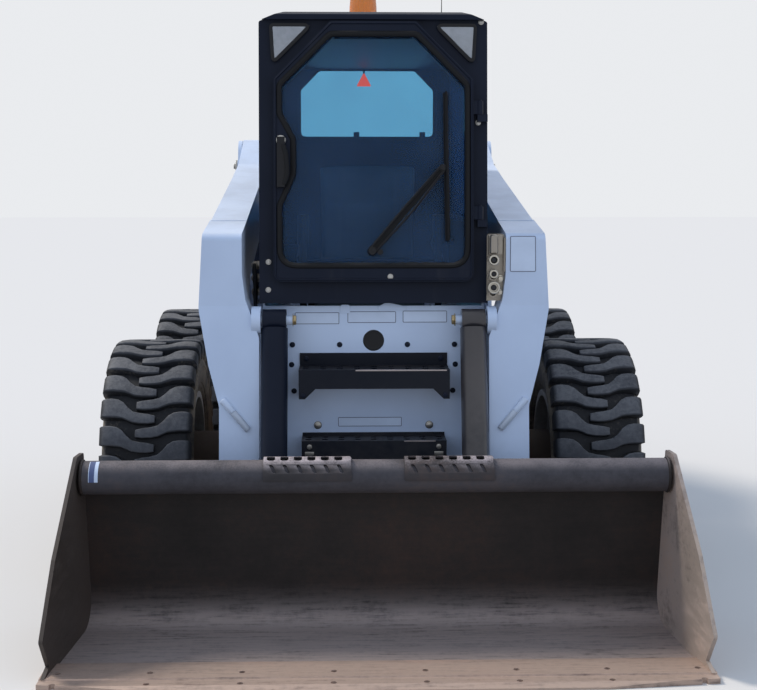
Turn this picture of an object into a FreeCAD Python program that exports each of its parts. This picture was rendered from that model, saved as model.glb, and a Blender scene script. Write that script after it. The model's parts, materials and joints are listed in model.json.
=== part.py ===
"""Skid steer loader with a dirt bucket, as a parametric assembly in millimetres.

The machine faces -Y and +Z is up. The origin is on the ground, midway between the
ends of the machine. Left and right are the operator's own, so left is +X.
"""
import FreeCAD, Part
import math
import os
import Sketcher

V = FreeCAD.Vector
doc = FreeCAD.newDocument("SkidSteerLoader")
sheet = doc.addObject("Spreadsheet::Sheet", "Sizes")

# Driving dimensions in millimetres or degrees. One that starts with "=" follows from others.
SIZES = {
    # wheels and axles
    "wheel_base": 1233, "front_axle_y": -455, "wheel_radius": 420, "track_half": 938,
    "tyre_width": 316, "tread_depth": 26, "lug_count": 20, "lug_width": 46, "lug_slant": 48,
    "bead_radius": 214, "tyre_wall": 20, "rim_wall": 8, "rim_flange": 14, "rim_drop": 32,
    "disc_x": 30, "disc_metal": 14, "disc_seat": 96, "hub_radius": 60, "hub_long": 118, "hub_bore": 32.05,
    "cap_radius": 42, "cap_long": 20, "spindle_radius": 32, "spindle_end": 6, "axle_radius": 80,
    "axle_flange_radius": 105, "axle_flange": 14, "rest_gap": 0.3,
    # lower frame
    "case_half": 520, "case_inner": 362, "case_bottom": 206, "case_top": 640,
    "case_front_y": -780, "case_rear_y": 1320, "belly_thickness": 10, "belly_rear_y": 1564,
    "panel_y": -850, "panel_thickness": 8, "panel_bottom": 300, "panel_top": 1000,
    "plug_radius": 36, "plug_z": 882, "panel_hole_radius": 7,
    "step_half": 250, "step_tread": 798, "step_deep": 125, "step_lip": 63, "step_foot": 97,
    "step_foot_wide": 20,
    "step_foot_slant": 35, "step_flange": 42, "step_metal": 5, "step_hole": 11, "step_holes": 9,
    "lower_step_half": 242, "lower_step_tread": 557, "lower_step_deep": 105, "lower_step_flange": 10,
    "side_half": 374, "side_metal": 8, "side_rear_y": 1544,
    "bumper_y": 1735, "bumper_bottom": 300, "bumper_top": 470, "bumper_half": 505, "bumper_bevel": 40,
    "tie_hole_radius": 22, "tie_hole_x": 430, "tie_hole_inset": 90,
    # uprights that carry the arms
    "upright_inner": 405, "upright_outer": 588, "upright_metal": 16,
    "upright_front_y": 800, "upright_rear_y": 1400, "upright_web": 14, "pin_end": 12,
    # engine end
    "engine_half": 260, "engine_front_y": 560, "engine_rear_y": 1300, "engine_bottom": 330, "engine_top": 1050,
    "hood_front_y": 470, "hood_rear_y": 1544, "hood_top": 1330, "hood_metal": 6, "hood_slots": 9,
    "slot_half": 250, "slot_bar": 22, "slots_front_y": "=hood_front_y + 330",
    "slots_rear_y": "=hood_rear_y - 90",
    "gate_bottom": 480, "gate_y": 1554, "gate_deep": 95, "gate_half": 385, "gate_metal": 12, "gate_reveal": 16,
    "grille_half": 230, "grille_bottom": 910, "grille_pitch": 40, "grille_slot": 22, "grille_slots": 8,
    # cab
    "cab_half": 383, "cab_bottom": 1012, "cab_front_y": -885, "cab_front_lean": 77,
    "cab_front_top": "=door_top + 4", "cab_rear_y": 400, "cab_wall": 30, "roof_metal": 22, "roof_crown": 34,
    "roof_over": 18, "glass_thickness": 6,
    "door_half": 334, "door_bottom": 1083, "door_top": "=pane_top + 44", "door_chamfer": 190, "door_metal": 26,
    "door_gap": 6, "pane_bottom": 1138, "pane_top": 1903, "pane_half": 312, "pane_chamfer": 168,
    "hinge_x": 356, "hinge_radius": 11, "hinge_pin": 6, "hinge_bore": 6.05,
    "opening_half": 316, "floor_z": 600, "floor_front_y": -835, "floor_metal": 12, "pedestal_y": -80,
    "seat_z": 880,
    "rear_open_half": 290, "rear_open_bottom": "=pane_top - 298", "rear_open_chamfer": 86, "pane_lap": 20,
    "side_open_bottom": 1290, "side_open_top": "=cab_front_top - 101",
    "side_open_front_y": "=cab_front_y + 190",
    "side_open_rear_y": "=cab_rear_y - 90",
    "seat_half": 225, "seat_front_y": -190, "seat_rear_y": 210, "seat_cushion": 115, "seat_back_half": 205,
    "seat_back_rise": 615, "seat_back_deep": 94,
    "lever_x": 250, "lever_y": -420, "lever_radius": 13, "grip_radius": 21, "lever_length": 590,
    "grip_length": 110,
    "lever_box_half": 55, "lever_box_rise": 240, "lever_box_front": 60, "lever_box_rear": 140,
    "bar_half": 268, "bar_rear_y": 120, "bar_rear_z": 1180, "bar_front_y": -300, "bar_front_z": 1120,
    "bar_radius": 15, "bar_bend": 40,
    "lamp_out": 340, "lamp_in": 213, "lamp_top": "=cab_front_top - 16", "lamp_low": "=lamp_top - 120",
    "lamp_deep": 10,
    "beacon_x": -21, "beacon_y": 45, "beacon_radius": 56, "beacon_base": 38,
    "beacon_top": "=cab_front_top + roof_crown + 200",
    "gate_hinge_x": 384, "gate_hinge_y": 1690, "post_rear_y": 1670, "gate_pin": 7, "gate_bore": 7.05,
    # lift arms
    "lift_pivot_y": 995, "lift_pivot_z": 1500, "lift_pin": 30, "lift_bore": 30.05, "lift_boss": 112,
    "beam_inner": 435, "beam_outer": 557, "eye_inner": 8, "eye_outer": 5, "pin_gap": 1,
    "beam_front_z": 1070, "beam_crest_y": 480, "beam_crest_z": 1500, "beam_step_y": 560, "beam_step_z": 1306,
    "knee_inner_top": 435, "knee_outer_top": 561, "knee_outer_wide": 579,
    "knee_inner_low": 380, "knee_outer_low": 512, "knee_front_y": -955, "knee_top": 1245, "knee_crease_z": 1010,
    "knee_shin_z": 640, "knee_swell_z": 1000, "knee_waist_z": 905, "knee_hip_z": 1115,
    "cross_radius": 46, "rear_cross_y": 700, "rear_cross_z": 1480, "front_cross_y": -915, "front_cross_z": 300,
    "coupler_x": 393, "coupler_y": -925, "coupler_z": 1106, "coupler_radius": 15, "coupler_bore": 10,
    "coupler_plate": 12,
    # bucket pivot and tilt cylinders
    "hitch_y": -1000, "hitch_z": 200, "hitch_pin": 19, "hitch_bore": 19.05, "hitch_boss": 58,
    "hitch_lean": 8, "hitch_reach": 145, "hitch_plate": 16, "hitch_half": 560, "hitch_lug": 18,
    "tilt_top_y": -930, "tilt_top_z": 960, "tilt_rod_y": -1090, "tilt_rod_z": 320, "tilt_x": 330,
    "tilt_radius": 44, "tilt_rod_radius": 22, "tilt_pin": 16, "tilt_bore": 16.05, "tilt_eye": 28,
    "tilt_eye_width": 50, "tilt_gland": 520, "tilt_stem": 400, "tilt_hollow": 200, "tilt_boss": 46,
    "tilt_boss_end": 25,
    # lift cylinders
    "lift_base_y": 1150, "lift_base_z": 950, "lift_rod_y": 500, "lift_rod_z": 1220, "lift_x": 496,
    "lift_radius": 45, "lift_rod_radius": 25, "lift_eye": 38, "lift_eye_width": 56, "lift_gland": 640,
    "lift_stem": 535, "lift_hollow": 150,
    "ram_pin": 18, "ram_bore": 18.05, "rod_clearance": 0.3,
    # bucket
    "edge_y": -1735, "edge_half": 962, "bucket_rear_half": "=edge_half - 47", "bucket_metal": 10,
    "heel_radius": 100,
    "bucket_top": 505, "tube_radius": 52, "tube_seat": 29, "edge_deep": 190, "edge_metal": 20, "edge_lip": 16,
    "edge_wear": 34, "side_metal_bucket": 12, "edge_bolt_radius": 9, "edge_bolt_pitch": 262,
    "edge_bolt_row": 109,
    "edge_bolt_front": 33, "bucket_side_top": 575, "side_crest_y": -1290, "side_knee_y": -1540,
    "side_knee_z": 325,
    "side_toe": 54, "side_toe_z": 128,
}
for row, (alias, amount) in enumerate(SIZES.items(), 1):
    sheet.set("A%d" % row, alias)
    sheet.set("B%d" % row, str(amount))
    sheet.setAlias("B%d" % row, alias)
doc.recompute()

NODES = {}


def names(expression):
    """Prefix every driving dimension in an expression with the sheet's name."""
    text, word = "", ""
    for mark in str(expression) + " ":
        if mark.isalnum() or mark == "_":
            word += mark
            continue
        text += ("Sizes." + word if word in SIZES else word) + mark
        word = ""
    return text.strip()


def size(expression):
    """The value of an expression of driving dimensions."""
    if isinstance(expression, (int, float)):
        return float(expression)
    found = sheet.evalExpression(names(expression))
    return float(getattr(found, "Value", found))


def bind(thing, **places):
    """Bind properties to expressions, a double underscore standing for a dot."""
    for path, expression in places.items():
        thing.setExpression(path.replace("__", "."), names(expression))


def node(thing, label):
    """Name a finished sub-part, which is written to its own file."""
    thing.Label = label
    NODES[label] = thing
    return thing


def corner_loop(sketch, corners):
    """A closed outline of (across, up) or (across, up, radius) expressions."""
    points = [V(size(c[0]), size(c[1]), 0) for c in corners]
    count = len(points)
    starts, ends, arcs = list(points), list(points), {}
    for i, corner in enumerate(corners):
        if len(corner) < 3:
            continue
        radius, here = size(corner[2]), points[i]
        back = (points[i - 1] - here).normalize()
        ahead = (points[(i + 1) % count] - here).normalize()
        half = back.getAngle(ahead) / 2
        reach = radius / math.tan(half)
        starts[i], ends[i] = here + ahead * reach, here + back * reach
        centre = here + (back + ahead).normalize() * (radius / math.sin(half))
        left_turn = (V(0, 0, 1).dot((here - points[i - 1]).cross(points[(i + 1) % count] - here))) > 0
        arcs[i] = (centre, radius, left_turn)
    lines = [sketch.addGeometry(Part.LineSegment(starts[i], ends[(i + 1) % count]), False)
             for i in range(count)]
    for i, corner in enumerate(corners):
        before = lines[i - 1]
        if i in arcs:
            centre, radius, left_turn = arcs[i]
            first, last = (ends[i], starts[i]) if left_turn else (starts[i], ends[i])
            low = math.atan2(first.y - centre.y, first.x - centre.x)
            high = math.atan2(last.y - centre.y, last.x - centre.x)
            circle = Part.Circle(centre, V(0, 0, 1), radius)
            arc = sketch.addGeometry(Part.ArcOfCircle(circle, low, high + (2 * math.pi if high < low else 0)),
                                     False)
            mark = sketch.addGeometry(Part.Point(points[i]), True)
            into, out = (1, 2) if left_turn else (2, 1)
            sketch.addConstraint([
                Sketcher.Constraint("Tangent", before, 2, arc, into),
                Sketcher.Constraint("Tangent", lines[i], 1, arc, out),
                Sketcher.Constraint("PointOnObject", mark, 1, before),
                Sketcher.Constraint("PointOnObject", mark, 1, lines[i])])
            turn = sketch.addConstraint(Sketcher.Constraint("Radius", arc, radius))
            sketch.setExpression("Constraints[%d]" % turn, names(corner[2]))
            place = (mark, 1)
        else:
            sketch.addConstraint(Sketcher.Constraint("Coincident", before, 2, lines[i], 1))
            place = (lines[i], 1)
        for kind, value, text in (("DistanceX", points[i].x, corner[0]), ("DistanceY", points[i].y, corner[1])):
            rule = sketch.addConstraint(Sketcher.Constraint(kind, -1, 1, place[0], place[1], value))
            sketch.setExpression("Constraints[%d]" % rule, names(text))


def ring(sketch, across, up, radius):
    """A circle whose centre and radius are expressions."""
    centre = V(size(across), size(up), 0)
    circle = sketch.addGeometry(Part.Circle(centre, V(0, 0, 1), size(radius)), False)
    for rule, text in ((Sketcher.Constraint("DistanceX", -1, 1, circle, 3, centre.x), across),
                       (Sketcher.Constraint("DistanceY", -1, 1, circle, 3, centre.y), up),
                       (Sketcher.Constraint("Radius", circle, size(radius)), radius)):
        sketch.setExpression("Constraints[%d]" % sketch.addConstraint(rule), names(text))


# Which way a sketch plane's normal points along its world axis.
PLANES = {"YZ": ("YZ_Plane", 1), "XZ": ("XZ_Plane", -1), "XY": ("XY_Plane", 1)}


def sketch_on(body, plane, start, loops, rings=()):
    """A sketch on one of the body's planes, moved to start along the plane's axis."""
    role, way = PLANES[plane]
    sketch = body.newObject("Sketcher::SketchObject", body.Name + "Outline")
    sketch.AttachmentSupport = [([f for f in body.Origin.OriginFeatures if f.Role == role][0], "")]
    sketch.MapMode = "FlatFace"
    bind(sketch, AttachmentOffset__Base__z="%d * (%s)" % (way, start))
    for loop in loops:
        corner_loop(sketch, loop)
    for across, up, radius in rings:
        ring(sketch, across, up, radius)
    return sketch


def add(body, plane, start, end, loops, rings=(), feature="PartDesign::Pad"):
    """Pad, or with another feature pocket, an outline between two places on an axis."""
    way = PLANES[plane][1]
    base = start if way > 0 else end
    sketch = sketch_on(body, plane, base, loops, rings)
    block = body.newObject(feature, body.Name + feature.split("::")[1])
    block.Profile = sketch
    bind(block, Length="abs((%s) - (%s))" % (end, start))
    if feature == "PartDesign::Pocket":
        block.Reversed = True
    sketch.Visibility = False
    body.Tip = block
    return block


def cut(body, plane, start, end, loops=(), rings=()):
    """Pocket an outline from start to end along the plane's axis."""
    return add(body, plane, start, end, loops, rings, "PartDesign::Pocket")


def slab(name, plane, start, end, loops, rings=()):
    """A new body padded from one outline."""
    body = doc.addObject("PartDesign::Body", name)
    add(body, plane, start, end, loops, rings)
    return body


def rectangle(low_a, low_b, high_a, high_b):
    """A four-cornered outline."""
    return [(low_a, low_b), (high_a, low_b), (high_a, high_b), (low_a, high_b)]


def rod(name, axis, start, end, a, b, radius):
    """A cylinder along an axis, its centre at (a, b) in the other two, in X, Y, Z order."""
    tube = doc.addObject("Part::Cylinder", name)
    bind(tube, Radius=radius, Height="(%s) - (%s)" % (end, start))
    turn, places = {"X": ((V(0, 1, 0), 90), (start, a, b)), "Y": ((V(1, 0, 0), -90), (a, start, b)),
                    "Z": ((V(0, 0, 1), 0), (a, b, start))}[axis]
    tube.Placement = FreeCAD.Placement(V(), FreeCAD.Rotation(*turn))
    bind(tube, Placement__Base__x=places[0], Placement__Base__y=places[1], Placement__Base__z=places[2])
    return tube


def fuse(name, parts):
    """The union of several shapes."""
    whole = doc.addObject("Part::MultiFuse", name)
    whole.Shapes = parts
    return whole


def less(name, base, tool):
    """One shape cut from another."""
    rest = doc.addObject("Part::Cut", name)
    rest.Base, rest.Tool = base, tool
    return rest


def overlap(name, one, two):
    """What two shapes share."""
    both = doc.addObject("Part::MultiCommon", name)
    both.Shapes = [one, two]
    return both


def mirrored(name, source):
    """A copy on the other side of the machine."""
    twin = doc.addObject("Part::Mirroring", name)
    twin.Source, twin.Normal = source, V(1, 0, 0)
    return twin


def together(name, parts):
    """Several separate solids as one sub-part."""
    group = doc.addObject("Part::Compound", name)
    group.Links = parts
    return group


def both_sides(name, source):
    """A left piece and its mirrored twin as one sub-part."""
    return together(name, [source, mirrored(name + "Twin", source)])


def left_and_right(label, source):
    """A left piece and its mirrored twin as two sub-parts."""
    node(source, label + "_left")
    node(mirrored(label + "Right", source), label + "_right")


# Wheels

def revolved(name, profile):
    """A body turned about the X axis from (along, radius) corners."""
    body = doc.addObject("PartDesign::Body", name)
    sketch = sketch_on(body, "XZ", "0", [profile])
    turned = body.newObject("PartDesign::Revolution", name + "Turned")
    turned.Profile = sketch
    turned.ReferenceAxis = (sketch, ["H_Axis"])
    turned.Angle = 360
    body.Tip = turned
    sketch.Visibility = False
    return body


def make_tyre():
    """A tyre about the X axis, outer side towards +X, with two staggered rows of lugs."""
    half, tread = "(tyre_width / 2)", "(wheel_radius - tread_depth)"
    outer = [("%s - 26" % half, "bead_radius"), ("%s - 26" % half, "bead_radius + rim_flange + 3"),
             ("%s - 8" % half, "bead_radius + 58"),
             ("%s - 4" % half, "bead_radius + 118"), ("%s - 18" % half, tread + " - 14"), ("60", tread)]
    inner = [("60", tread + " - tyre_wall"), ("%s - 22 - tyre_wall" % half, tread + " - 24 - tyre_wall"),
             ("%s - 8 - tyre_wall" % half, "bead_radius + 100"), ("%s - 30 - tyre_wall" % half, "bead_radius")]
    section = outer + [("-(%s)" % a, r) for a, r in reversed(outer)]
    section += [("-(%s)" % a, r) for a, r in reversed(inner)] + inner
    body = revolved("Tyre", section)
    for side in (1, -1):
        lug = add(body, "XY", "bead_radius + 122", "sqrt(wheel_radius^2 - (lug_slant + 10)^2)", [[
            ("%d * %s" % (side, half), "-lug_width / 2 - 6"), ("%d * %s" % (side, half), "lug_width / 2 + 2"),
            ("%d * 86" % side, "lug_width / 2 - 6"), ("%d * 4" % side, "lug_slant + 10"),
            ("%d * 4" % side, "lug_slant - lug_width / 2 - 2"), ("%d * 92" % side, "-lug_width / 2 - 6")]])
        if side < 0:
            sketch, turn, rise = lug.Profile[0], "180 deg / lug_count", "(bead_radius + 122)"
            sketch.AttachmentOffset = FreeCAD.Placement(
                V(), FreeCAD.Rotation(V(1, 0, 0), 180 / size("lug_count")))
            bind(sketch, AttachmentOffset__Rotation__Angle=turn,
                 AttachmentOffset__Base__y="-%s * sin(%s)" % (rise, turn),
                 AttachmentOffset__Base__z="%s * cos(%s)" % (rise, turn))
        row = body.newObject("PartDesign::PolarPattern", "LugRow")
        row.Originals = [lug]
        row.Axis = ([f for f in body.Origin.OriginFeatures if f.Role == "X_Axis"][0], [""])
        row.Angle = 360
        bind(row, Occurrences="lug_count")
        body.Tip = row
    return body


def make_rim():
    """A drop-centre rim with its disc, hub and cap, outer side towards +X."""
    half, seat = "(tyre_width / 2)", "(bead_radius - rest_gap)"
    well = "(bead_radius - rim_drop)"
    bead = [("%s - 26 + rest_gap + rim_wall" % half, "bead_radius + rim_flange"),
            ("%s - 26 + rest_gap" % half, "bead_radius + rim_flange"), ("%s - 26 + rest_gap" % half, seat),
            ("%s - 62" % half, seat), ("70", well)]
    section = [("-(%s)" % a, r) for a, r in bead] + list(reversed(bead))
    section += [
        ("%s - 26 + rest_gap + rim_wall" % half, seat + " - rim_wall"),
        ("%s - 64" % half, seat + " - rim_wall"),
        ("67", well + " - rim_wall"), ("disc_x + disc_metal", well + " - rim_wall"),
        ("disc_x + disc_metal", "disc_seat + 30"), ("disc_metal", "disc_seat"),
        ("disc_metal", "cap_radius + 2"),
        ("disc_metal + cap_long", "cap_radius - 6"), ("disc_metal + cap_long", "0"), ("spindle_end + 3", "0"),
        ("spindle_end + 3", "hub_bore"), ("-hub_long", "hub_bore"), ("-hub_long", "hub_radius"),
        ("-disc_metal", "hub_radius"), ("-disc_metal", "disc_seat"), ("0", "disc_seat"),
        ("disc_x", "disc_seat + 34"), ("disc_x", well + " - rim_wall"), ("-67", well + " - rim_wall"),
        ("-(%s) + 64" % half, seat + " - rim_wall"),
        ("-(%s) + 26 - rest_gap - rim_wall" % half, seat + " - rim_wall")]
    return revolved("Rim", section)


def make_wheels():
    """Four wheels: a tyre and a rim at each end of both axles."""
    for piece, source in (("tyre", make_tyre()), ("rim", make_rim())):
        twin = mirrored(piece + "Mirror", source)
        for side, shape, way in (("left", source, ""), ("right", twin, "-")):
            for end, place in (("front", "front_axle_y"), ("rear", "front_axle_y + wheel_base")):
                copy = together("%s_%s_%s" % (piece, end, side), [shape])
                bind(copy, Placement__Base__x="%s(track_half - tyre_width / 2)" % way,
                     Placement__Base__y=place, Placement__Base__z="wheel_radius")
                node(copy, copy.Name)


def make_axles():
    """Axle tubes out of the chain cases, each with the spindle that its wheel turns on."""
    ends = []
    for end, place in (("Front", "front_axle_y"), ("Rear", "front_axle_y + wheel_base")):
        hub_face = "track_half - tyre_width / 2 - hub_long - rest_gap"
        tube = rod("AxleTube" + end, "X", "case_half", hub_face, place, "wheel_radius", "axle_radius")
        collar = rod("AxleCollar" + end, "X", "case_half", "case_half + axle_flange", place, "wheel_radius",
                     "axle_flange_radius")
        spindle = rod("Spindle" + end, "X", hub_face + " - 20", "track_half - tyre_width / 2 + spindle_end",
                      place, "wheel_radius", "spindle_radius")
        ends.append(fuse("Axle" + end, [tube, collar, spindle]))
    twins = [mirrored(end.Name + "Twin", end) for end in ends]
    node(together("AxleHousings", ends + twins), "axle_housings")


# Lower frame and body

def make_frame():
    """Chain cases along both sides, with the belly plate between them."""
    case = slab("ChainCase", "YZ", "case_inner", "case_half", [[
        ("case_front_y + 60", "case_bottom"), ("case_rear_y - 120", "case_bottom"),
        ("case_rear_y", "case_bottom + 90", "30"), ("case_rear_y", "case_top"),
        ("case_front_y", "case_top", "40"),
        ("case_front_y", "case_bottom + 60")]])
    node(both_sides("ChainCases", case), "chain_cases")
    belly = slab("BellyPlate", "YZ", "-case_inner", "case_inner", [[
        ("panel_y + panel_thickness", "panel_bottom - belly_thickness"), ("case_front_y + 60", "case_bottom"),
        ("belly_rear_y - 110", "case_bottom"), ("belly_rear_y", "bumper_bottom"),
        ("belly_rear_y", "bumper_bottom + belly_thickness * 1.4"),
        ("belly_rear_y - 110 - belly_thickness / 2", "case_bottom + belly_thickness"),
        ("case_front_y + 60 + belly_thickness / 2", "case_bottom + belly_thickness"),
        ("panel_y + panel_thickness", "panel_bottom")]])
    for place in ("engine_front_y + 60", "engine_rear_y - 140"):
        add(belly, "XY", "case_bottom + belly_thickness", "engine_bottom - rest_gap",
            [rectangle("-engine_half + 20", place, "engine_half - 20", place + " + 80")])
    node(belly, "belly_plate")


def make_front():
    """The white front panel with its holes, and the two black steps on it."""
    holes = [("0", "plug_z", "plug_radius")]
    holes += [("%s%s" % (sign, across), up, "panel_hole_radius") for sign in ("", "-")
              for across, up in (("115", "plug_z - 14"), ("275", "plug_z - 14"), ("278", "plug_z - 82"),
                                 ("270", "plug_z - 172"), ("190", "plug_z - 290"))]
    panel = slab("FrontPanel", "XZ", "panel_y", "panel_y + panel_thickness", [[
        ("-side_half + side_metal", "panel_bottom"), ("side_half - side_metal", "panel_bottom"),
        ("side_half - side_metal", "panel_top"), ("-side_half + side_metal", "panel_top")]], holes)
    node(panel, "front_panel")
    steps = []
    for name, half, tread, deep, flange in (
            ("UpperStep", "step_half", "step_tread", "step_deep", "step_flange"),
            ("LowerStep", "lower_step_half", "lower_step_tread", "lower_step_deep", "lower_step_flange")):
        nose, heel = "panel_y - " + deep, "panel_y - step_metal"
        lip, foot, under = tread + " - step_lip", tread + " - step_foot", tread + " - step_metal"
        foot_end = "%s - step_foot_wide" % half
        lip_end = foot_end + " - step_foot_slant"
        step = slab(name, "YZ", "-" + half, half, [[
            ("panel_y", "%s + %s" % (tread, flange)), ("panel_y", under), (nose + " + 1", under),
            (nose + " + 1", tread), (heel, tread), (heel, "%s + %s" % (tread, flange))]])
        add(step, "XZ", nose, nose + " + step_metal", [[
            ("-" + half, tread), ("-" + half, foot), ("-(%s)" % foot_end, foot), ("-(%s)" % lip_end, lip),
            (lip_end, lip), (foot_end, foot), (half, foot), (half, tread)]])
        for low, high in ((half + " - step_metal", half), ("-" + half, "-%s + step_metal" % half)):
            add(step, "YZ", low, high, [[
                ("panel_y", tread), ("panel_y", foot + " - 10"), ("panel_y - 30", foot + " - 10"), (nose, foot),
                (nose, tread)]])
        columns = int(size("step_holes"))
        grips = [("(%s - 2 * step_hole) * %s" % (half, (2 * i + 1 - columns) / (columns - 1)),
                  "panel_y - %s * %s" % (deep, share), "step_hole")
                 for i in range(columns) for share in (0.36, 0.72)]
        cut(step, "XY", under + " - 1", tread + " + 1", (), grips)
        steps.append(step)
    node(together("FrontSteps", steps), "front_steps")


def make_body_sides():
    """The body's side plates above the chain cases, from the front panel to the tail."""
    side = slab("BodySide", "YZ", "side_half - side_metal", "side_half", [[
        ("panel_y", "panel_bottom + 250"), ("case_front_y", "case_top"), ("side_rear_y", "case_top"),
        ("side_rear_y", "hood_top - hood_metal"), ("cab_rear_y + 20", "hood_top - hood_metal"),
        ("cab_rear_y + 20", "cab_bottom - rest_gap"), ("panel_y", "cab_bottom - rest_gap")]])
    node(both_sides("BodySides", side), "body_sides")


def make_uprights():
    """Two hollow uprights behind the cab, each with the pin that its arm turns on."""
    base = "case_top + rest_gap"
    plates = [slab("Upright" + name, "YZ", low, high, [[
        ("upright_front_y", foot), ("upright_rear_y", foot), ("upright_rear_y", "lift_pivot_z - 180", "60"),
        ("lift_pivot_y + 150", "lift_pivot_z + 118", "70"), ("lift_pivot_y - 125", "lift_pivot_z + 118", "70"),
        ("upright_front_y", "lift_pivot_z - 220")]])
        for name, low, high, foot in (("Inner", "upright_inner", "upright_inner + upright_metal", base),
                                      ("Outer", "upright_outer - upright_metal", "upright_outer",
                                       "case_top - 60"))]
    web = slab("UprightWeb", "XZ", "upright_rear_y - upright_web", "upright_rear_y",
               [rectangle("upright_inner", base, "upright_outer", "lift_pivot_z - 230")])
    foot = slab("UprightFoot", "XY", base, "case_top + upright_web",
                [rectangle("upright_inner", "upright_front_y", "upright_outer", "upright_rear_y")])
    pin = rod("LiftPin", "X", "upright_inner - pin_end", "upright_outer + pin_end", "lift_pivot_y",
              "lift_pivot_z", "lift_pin")
    base_pin = rod("LiftBasePin", "X", "upright_inner - pin_end", "upright_outer + pin_end - 2", "lift_base_y",
                   "lift_base_z", "ram_pin")
    spacers = []
    for name, low, high in (("In", "upright_inner", "lift_x - lift_eye_width / 2 - pin_gap"),
                            ("Out", "lift_x + lift_eye_width / 2 + pin_gap", "upright_outer")):
        spacers.append(rod("BaseSpacer" + name, "X", low, high, "lift_base_y", "lift_base_z", "ram_pin + 14"))
    for name, low, high in (("In", "upright_inner", "beam_inner - eye_inner - pin_gap"),
                            ("Out", "beam_outer + eye_outer + pin_gap", "upright_outer")):
        spacers.append(rod("PivotSpacer" + name, "X", low, high, "lift_pivot_y", "lift_pivot_z",
                           "lift_pin + 28"))
    upright = fuse("Upright", plates + [web, foot, pin, base_pin] + spacers)
    left_and_right("upright", upright)


def make_engine_end():
    """Engine, louvred hood, bumper and the lamps of the tail."""
    node(slab("EngineBlock", "YZ", "-engine_half", "engine_half", [[
        ("engine_front_y", "engine_bottom"), ("engine_rear_y", "engine_bottom"),
        ("engine_rear_y", "engine_top - 160"),
        ("engine_rear_y - 180", "engine_top"), ("engine_front_y + 90", "engine_top"),
        ("engine_front_y", "engine_top - 120")]]), "engine_block")
    hood = slab("Hood", "YZ", "-side_half", "side_half", [[
        ("hood_front_y", "hood_top - hood_metal"), ("hood_rear_y", "hood_top - hood_metal"),
        ("hood_rear_y", "hood_top"), ("hood_front_y", "hood_top")]])
    pitch = "((slots_rear_y - slots_front_y) / hood_slots)"
    slots = [rectangle("-slot_half", "slots_front_y + %s * %d" % (pitch, i),
                       "slot_half", "slots_front_y + %s * %d - slot_bar" % (pitch, i + 1))
             for i in range(int(size("hood_slots")))]
    cut(hood, "XY", "hood_top - hood_metal - 1", "hood_top + 1", slots)
    node(hood, "engine_hood")
    bumper = slab("Bumper", "YZ", "-bumper_half", "bumper_half", [[
        ("belly_rear_y", "bumper_bottom"), ("bumper_y - bumper_bevel", "bumper_bottom"),
        ("bumper_y", "bumper_bottom + bumper_bevel"), ("bumper_y", "bumper_top"),
        ("belly_rear_y", "bumper_top")]])
    cut(bumper, "XY", "bumper_bottom - 1", "bumper_top + 1", (), [
        (sign + "tie_hole_x", "bumper_y - tie_hole_inset", "tie_hole_radius") for sign in ("", "-")])
    node(bumper, "rear_bumper")
    post = slab("TailPost", "XY", "bumper_top", "hood_top - hood_metal - rest_gap",
                [rectangle("side_half + rest_gap", "side_rear_y - 60", "side_half + 120", "post_rear_y")])
    node(both_sides("TailPosts", post), "tail_posts")


def make_tailgate():
    """The rear door, a pressed pan with a grille, hung on the tail post."""
    gate = slab("Tailgate", "XZ", "gate_y", "gate_y + gate_deep",
                [rectangle("-gate_half + gate_reveal", "gate_bottom", "gate_half - gate_reveal",
                           "hood_top - 30")])
    cut(gate, "XZ", "gate_y - 1", "gate_y + gate_deep - gate_metal",
        [rectangle("-gate_half + gate_reveal + gate_metal", "gate_bottom + gate_metal",
                   "gate_half - gate_reveal - gate_metal", "hood_top - 30 - gate_metal")])
    slots = [rectangle("-grille_half", "grille_bottom + grille_pitch * %d" % i,
                       "grille_half", "grille_bottom + grille_pitch * %d + grille_slot" % i)
             for i in range(int(size("grille_slots")))]
    cut(gate, "XZ", "gate_y + gate_deep - gate_metal - 1", "gate_y + gate_deep + 1", slots)
    return gate


def hinge_pin_and_bracket(name, low, high):
    """A fixed hinge leaf of the tailgate with its upright pin."""
    leaf = slab(name + "Leaf", "XY", low, low + " + 30", [rectangle(
        "gate_hinge_x - gate_pin", "post_rear_y + rest_gap", "gate_hinge_x + 36", "gate_hinge_y + 9")])
    pin = rod(name + "Pin", "Z", low + " + 10", high, "gate_hinge_x", "gate_hinge_y", "gate_pin")
    return fuse(name, [leaf, pin])


def hang_tailgate():
    """The tailgate with its two hinge straps, and the fixed leaves that they turn on."""
    gate, leaves, straps = make_tailgate(), [], []
    back = "gate_y + gate_deep"
    for i, low in enumerate(("gate_bottom + 90", "hood_top - 220")):
        leaves.append(hinge_pin_and_bracket("GateHinge%d" % i, low, low + " + 90"))
        rise = low + " + 31"
        strap = slab("GateStrap%d" % i, "XY", rise, rise + " + 55", [[
            ("gate_half - 80", back + " - 1"), ("gate_half - gate_reveal", back + " - 1"),
            ("gate_half - gate_reveal", "gate_hinge_y - 9"),
            ("gate_hinge_x", "gate_hinge_y - 9"), ("gate_hinge_x", "gate_hinge_y + 9"),
            ("gate_hinge_x - 24", "gate_hinge_y + 9"), ("gate_half - 80", back + " + 8")]])
        knuckle = rod("GateKnuckle%d" % i, "Z", rise, rise + " + 55", "gate_hinge_x", "gate_hinge_y",
                      "gate_pin + 5")
        bore = rod("GateBore%d" % i, "Z", rise + " - 5", rise + " + 60", "gate_hinge_x", "gate_hinge_y",
                   "gate_bore")
        straps.append(less("GateStrapBored%d" % i, fuse("GateStrapSolid%d" % i, [strap, knuckle]), bore))
    node(fuse("TailgateHung", [gate] + straps), "tailgate")
    node(together("GateHinges", leaves), "tailgate_hinges")


# Cab

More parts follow.
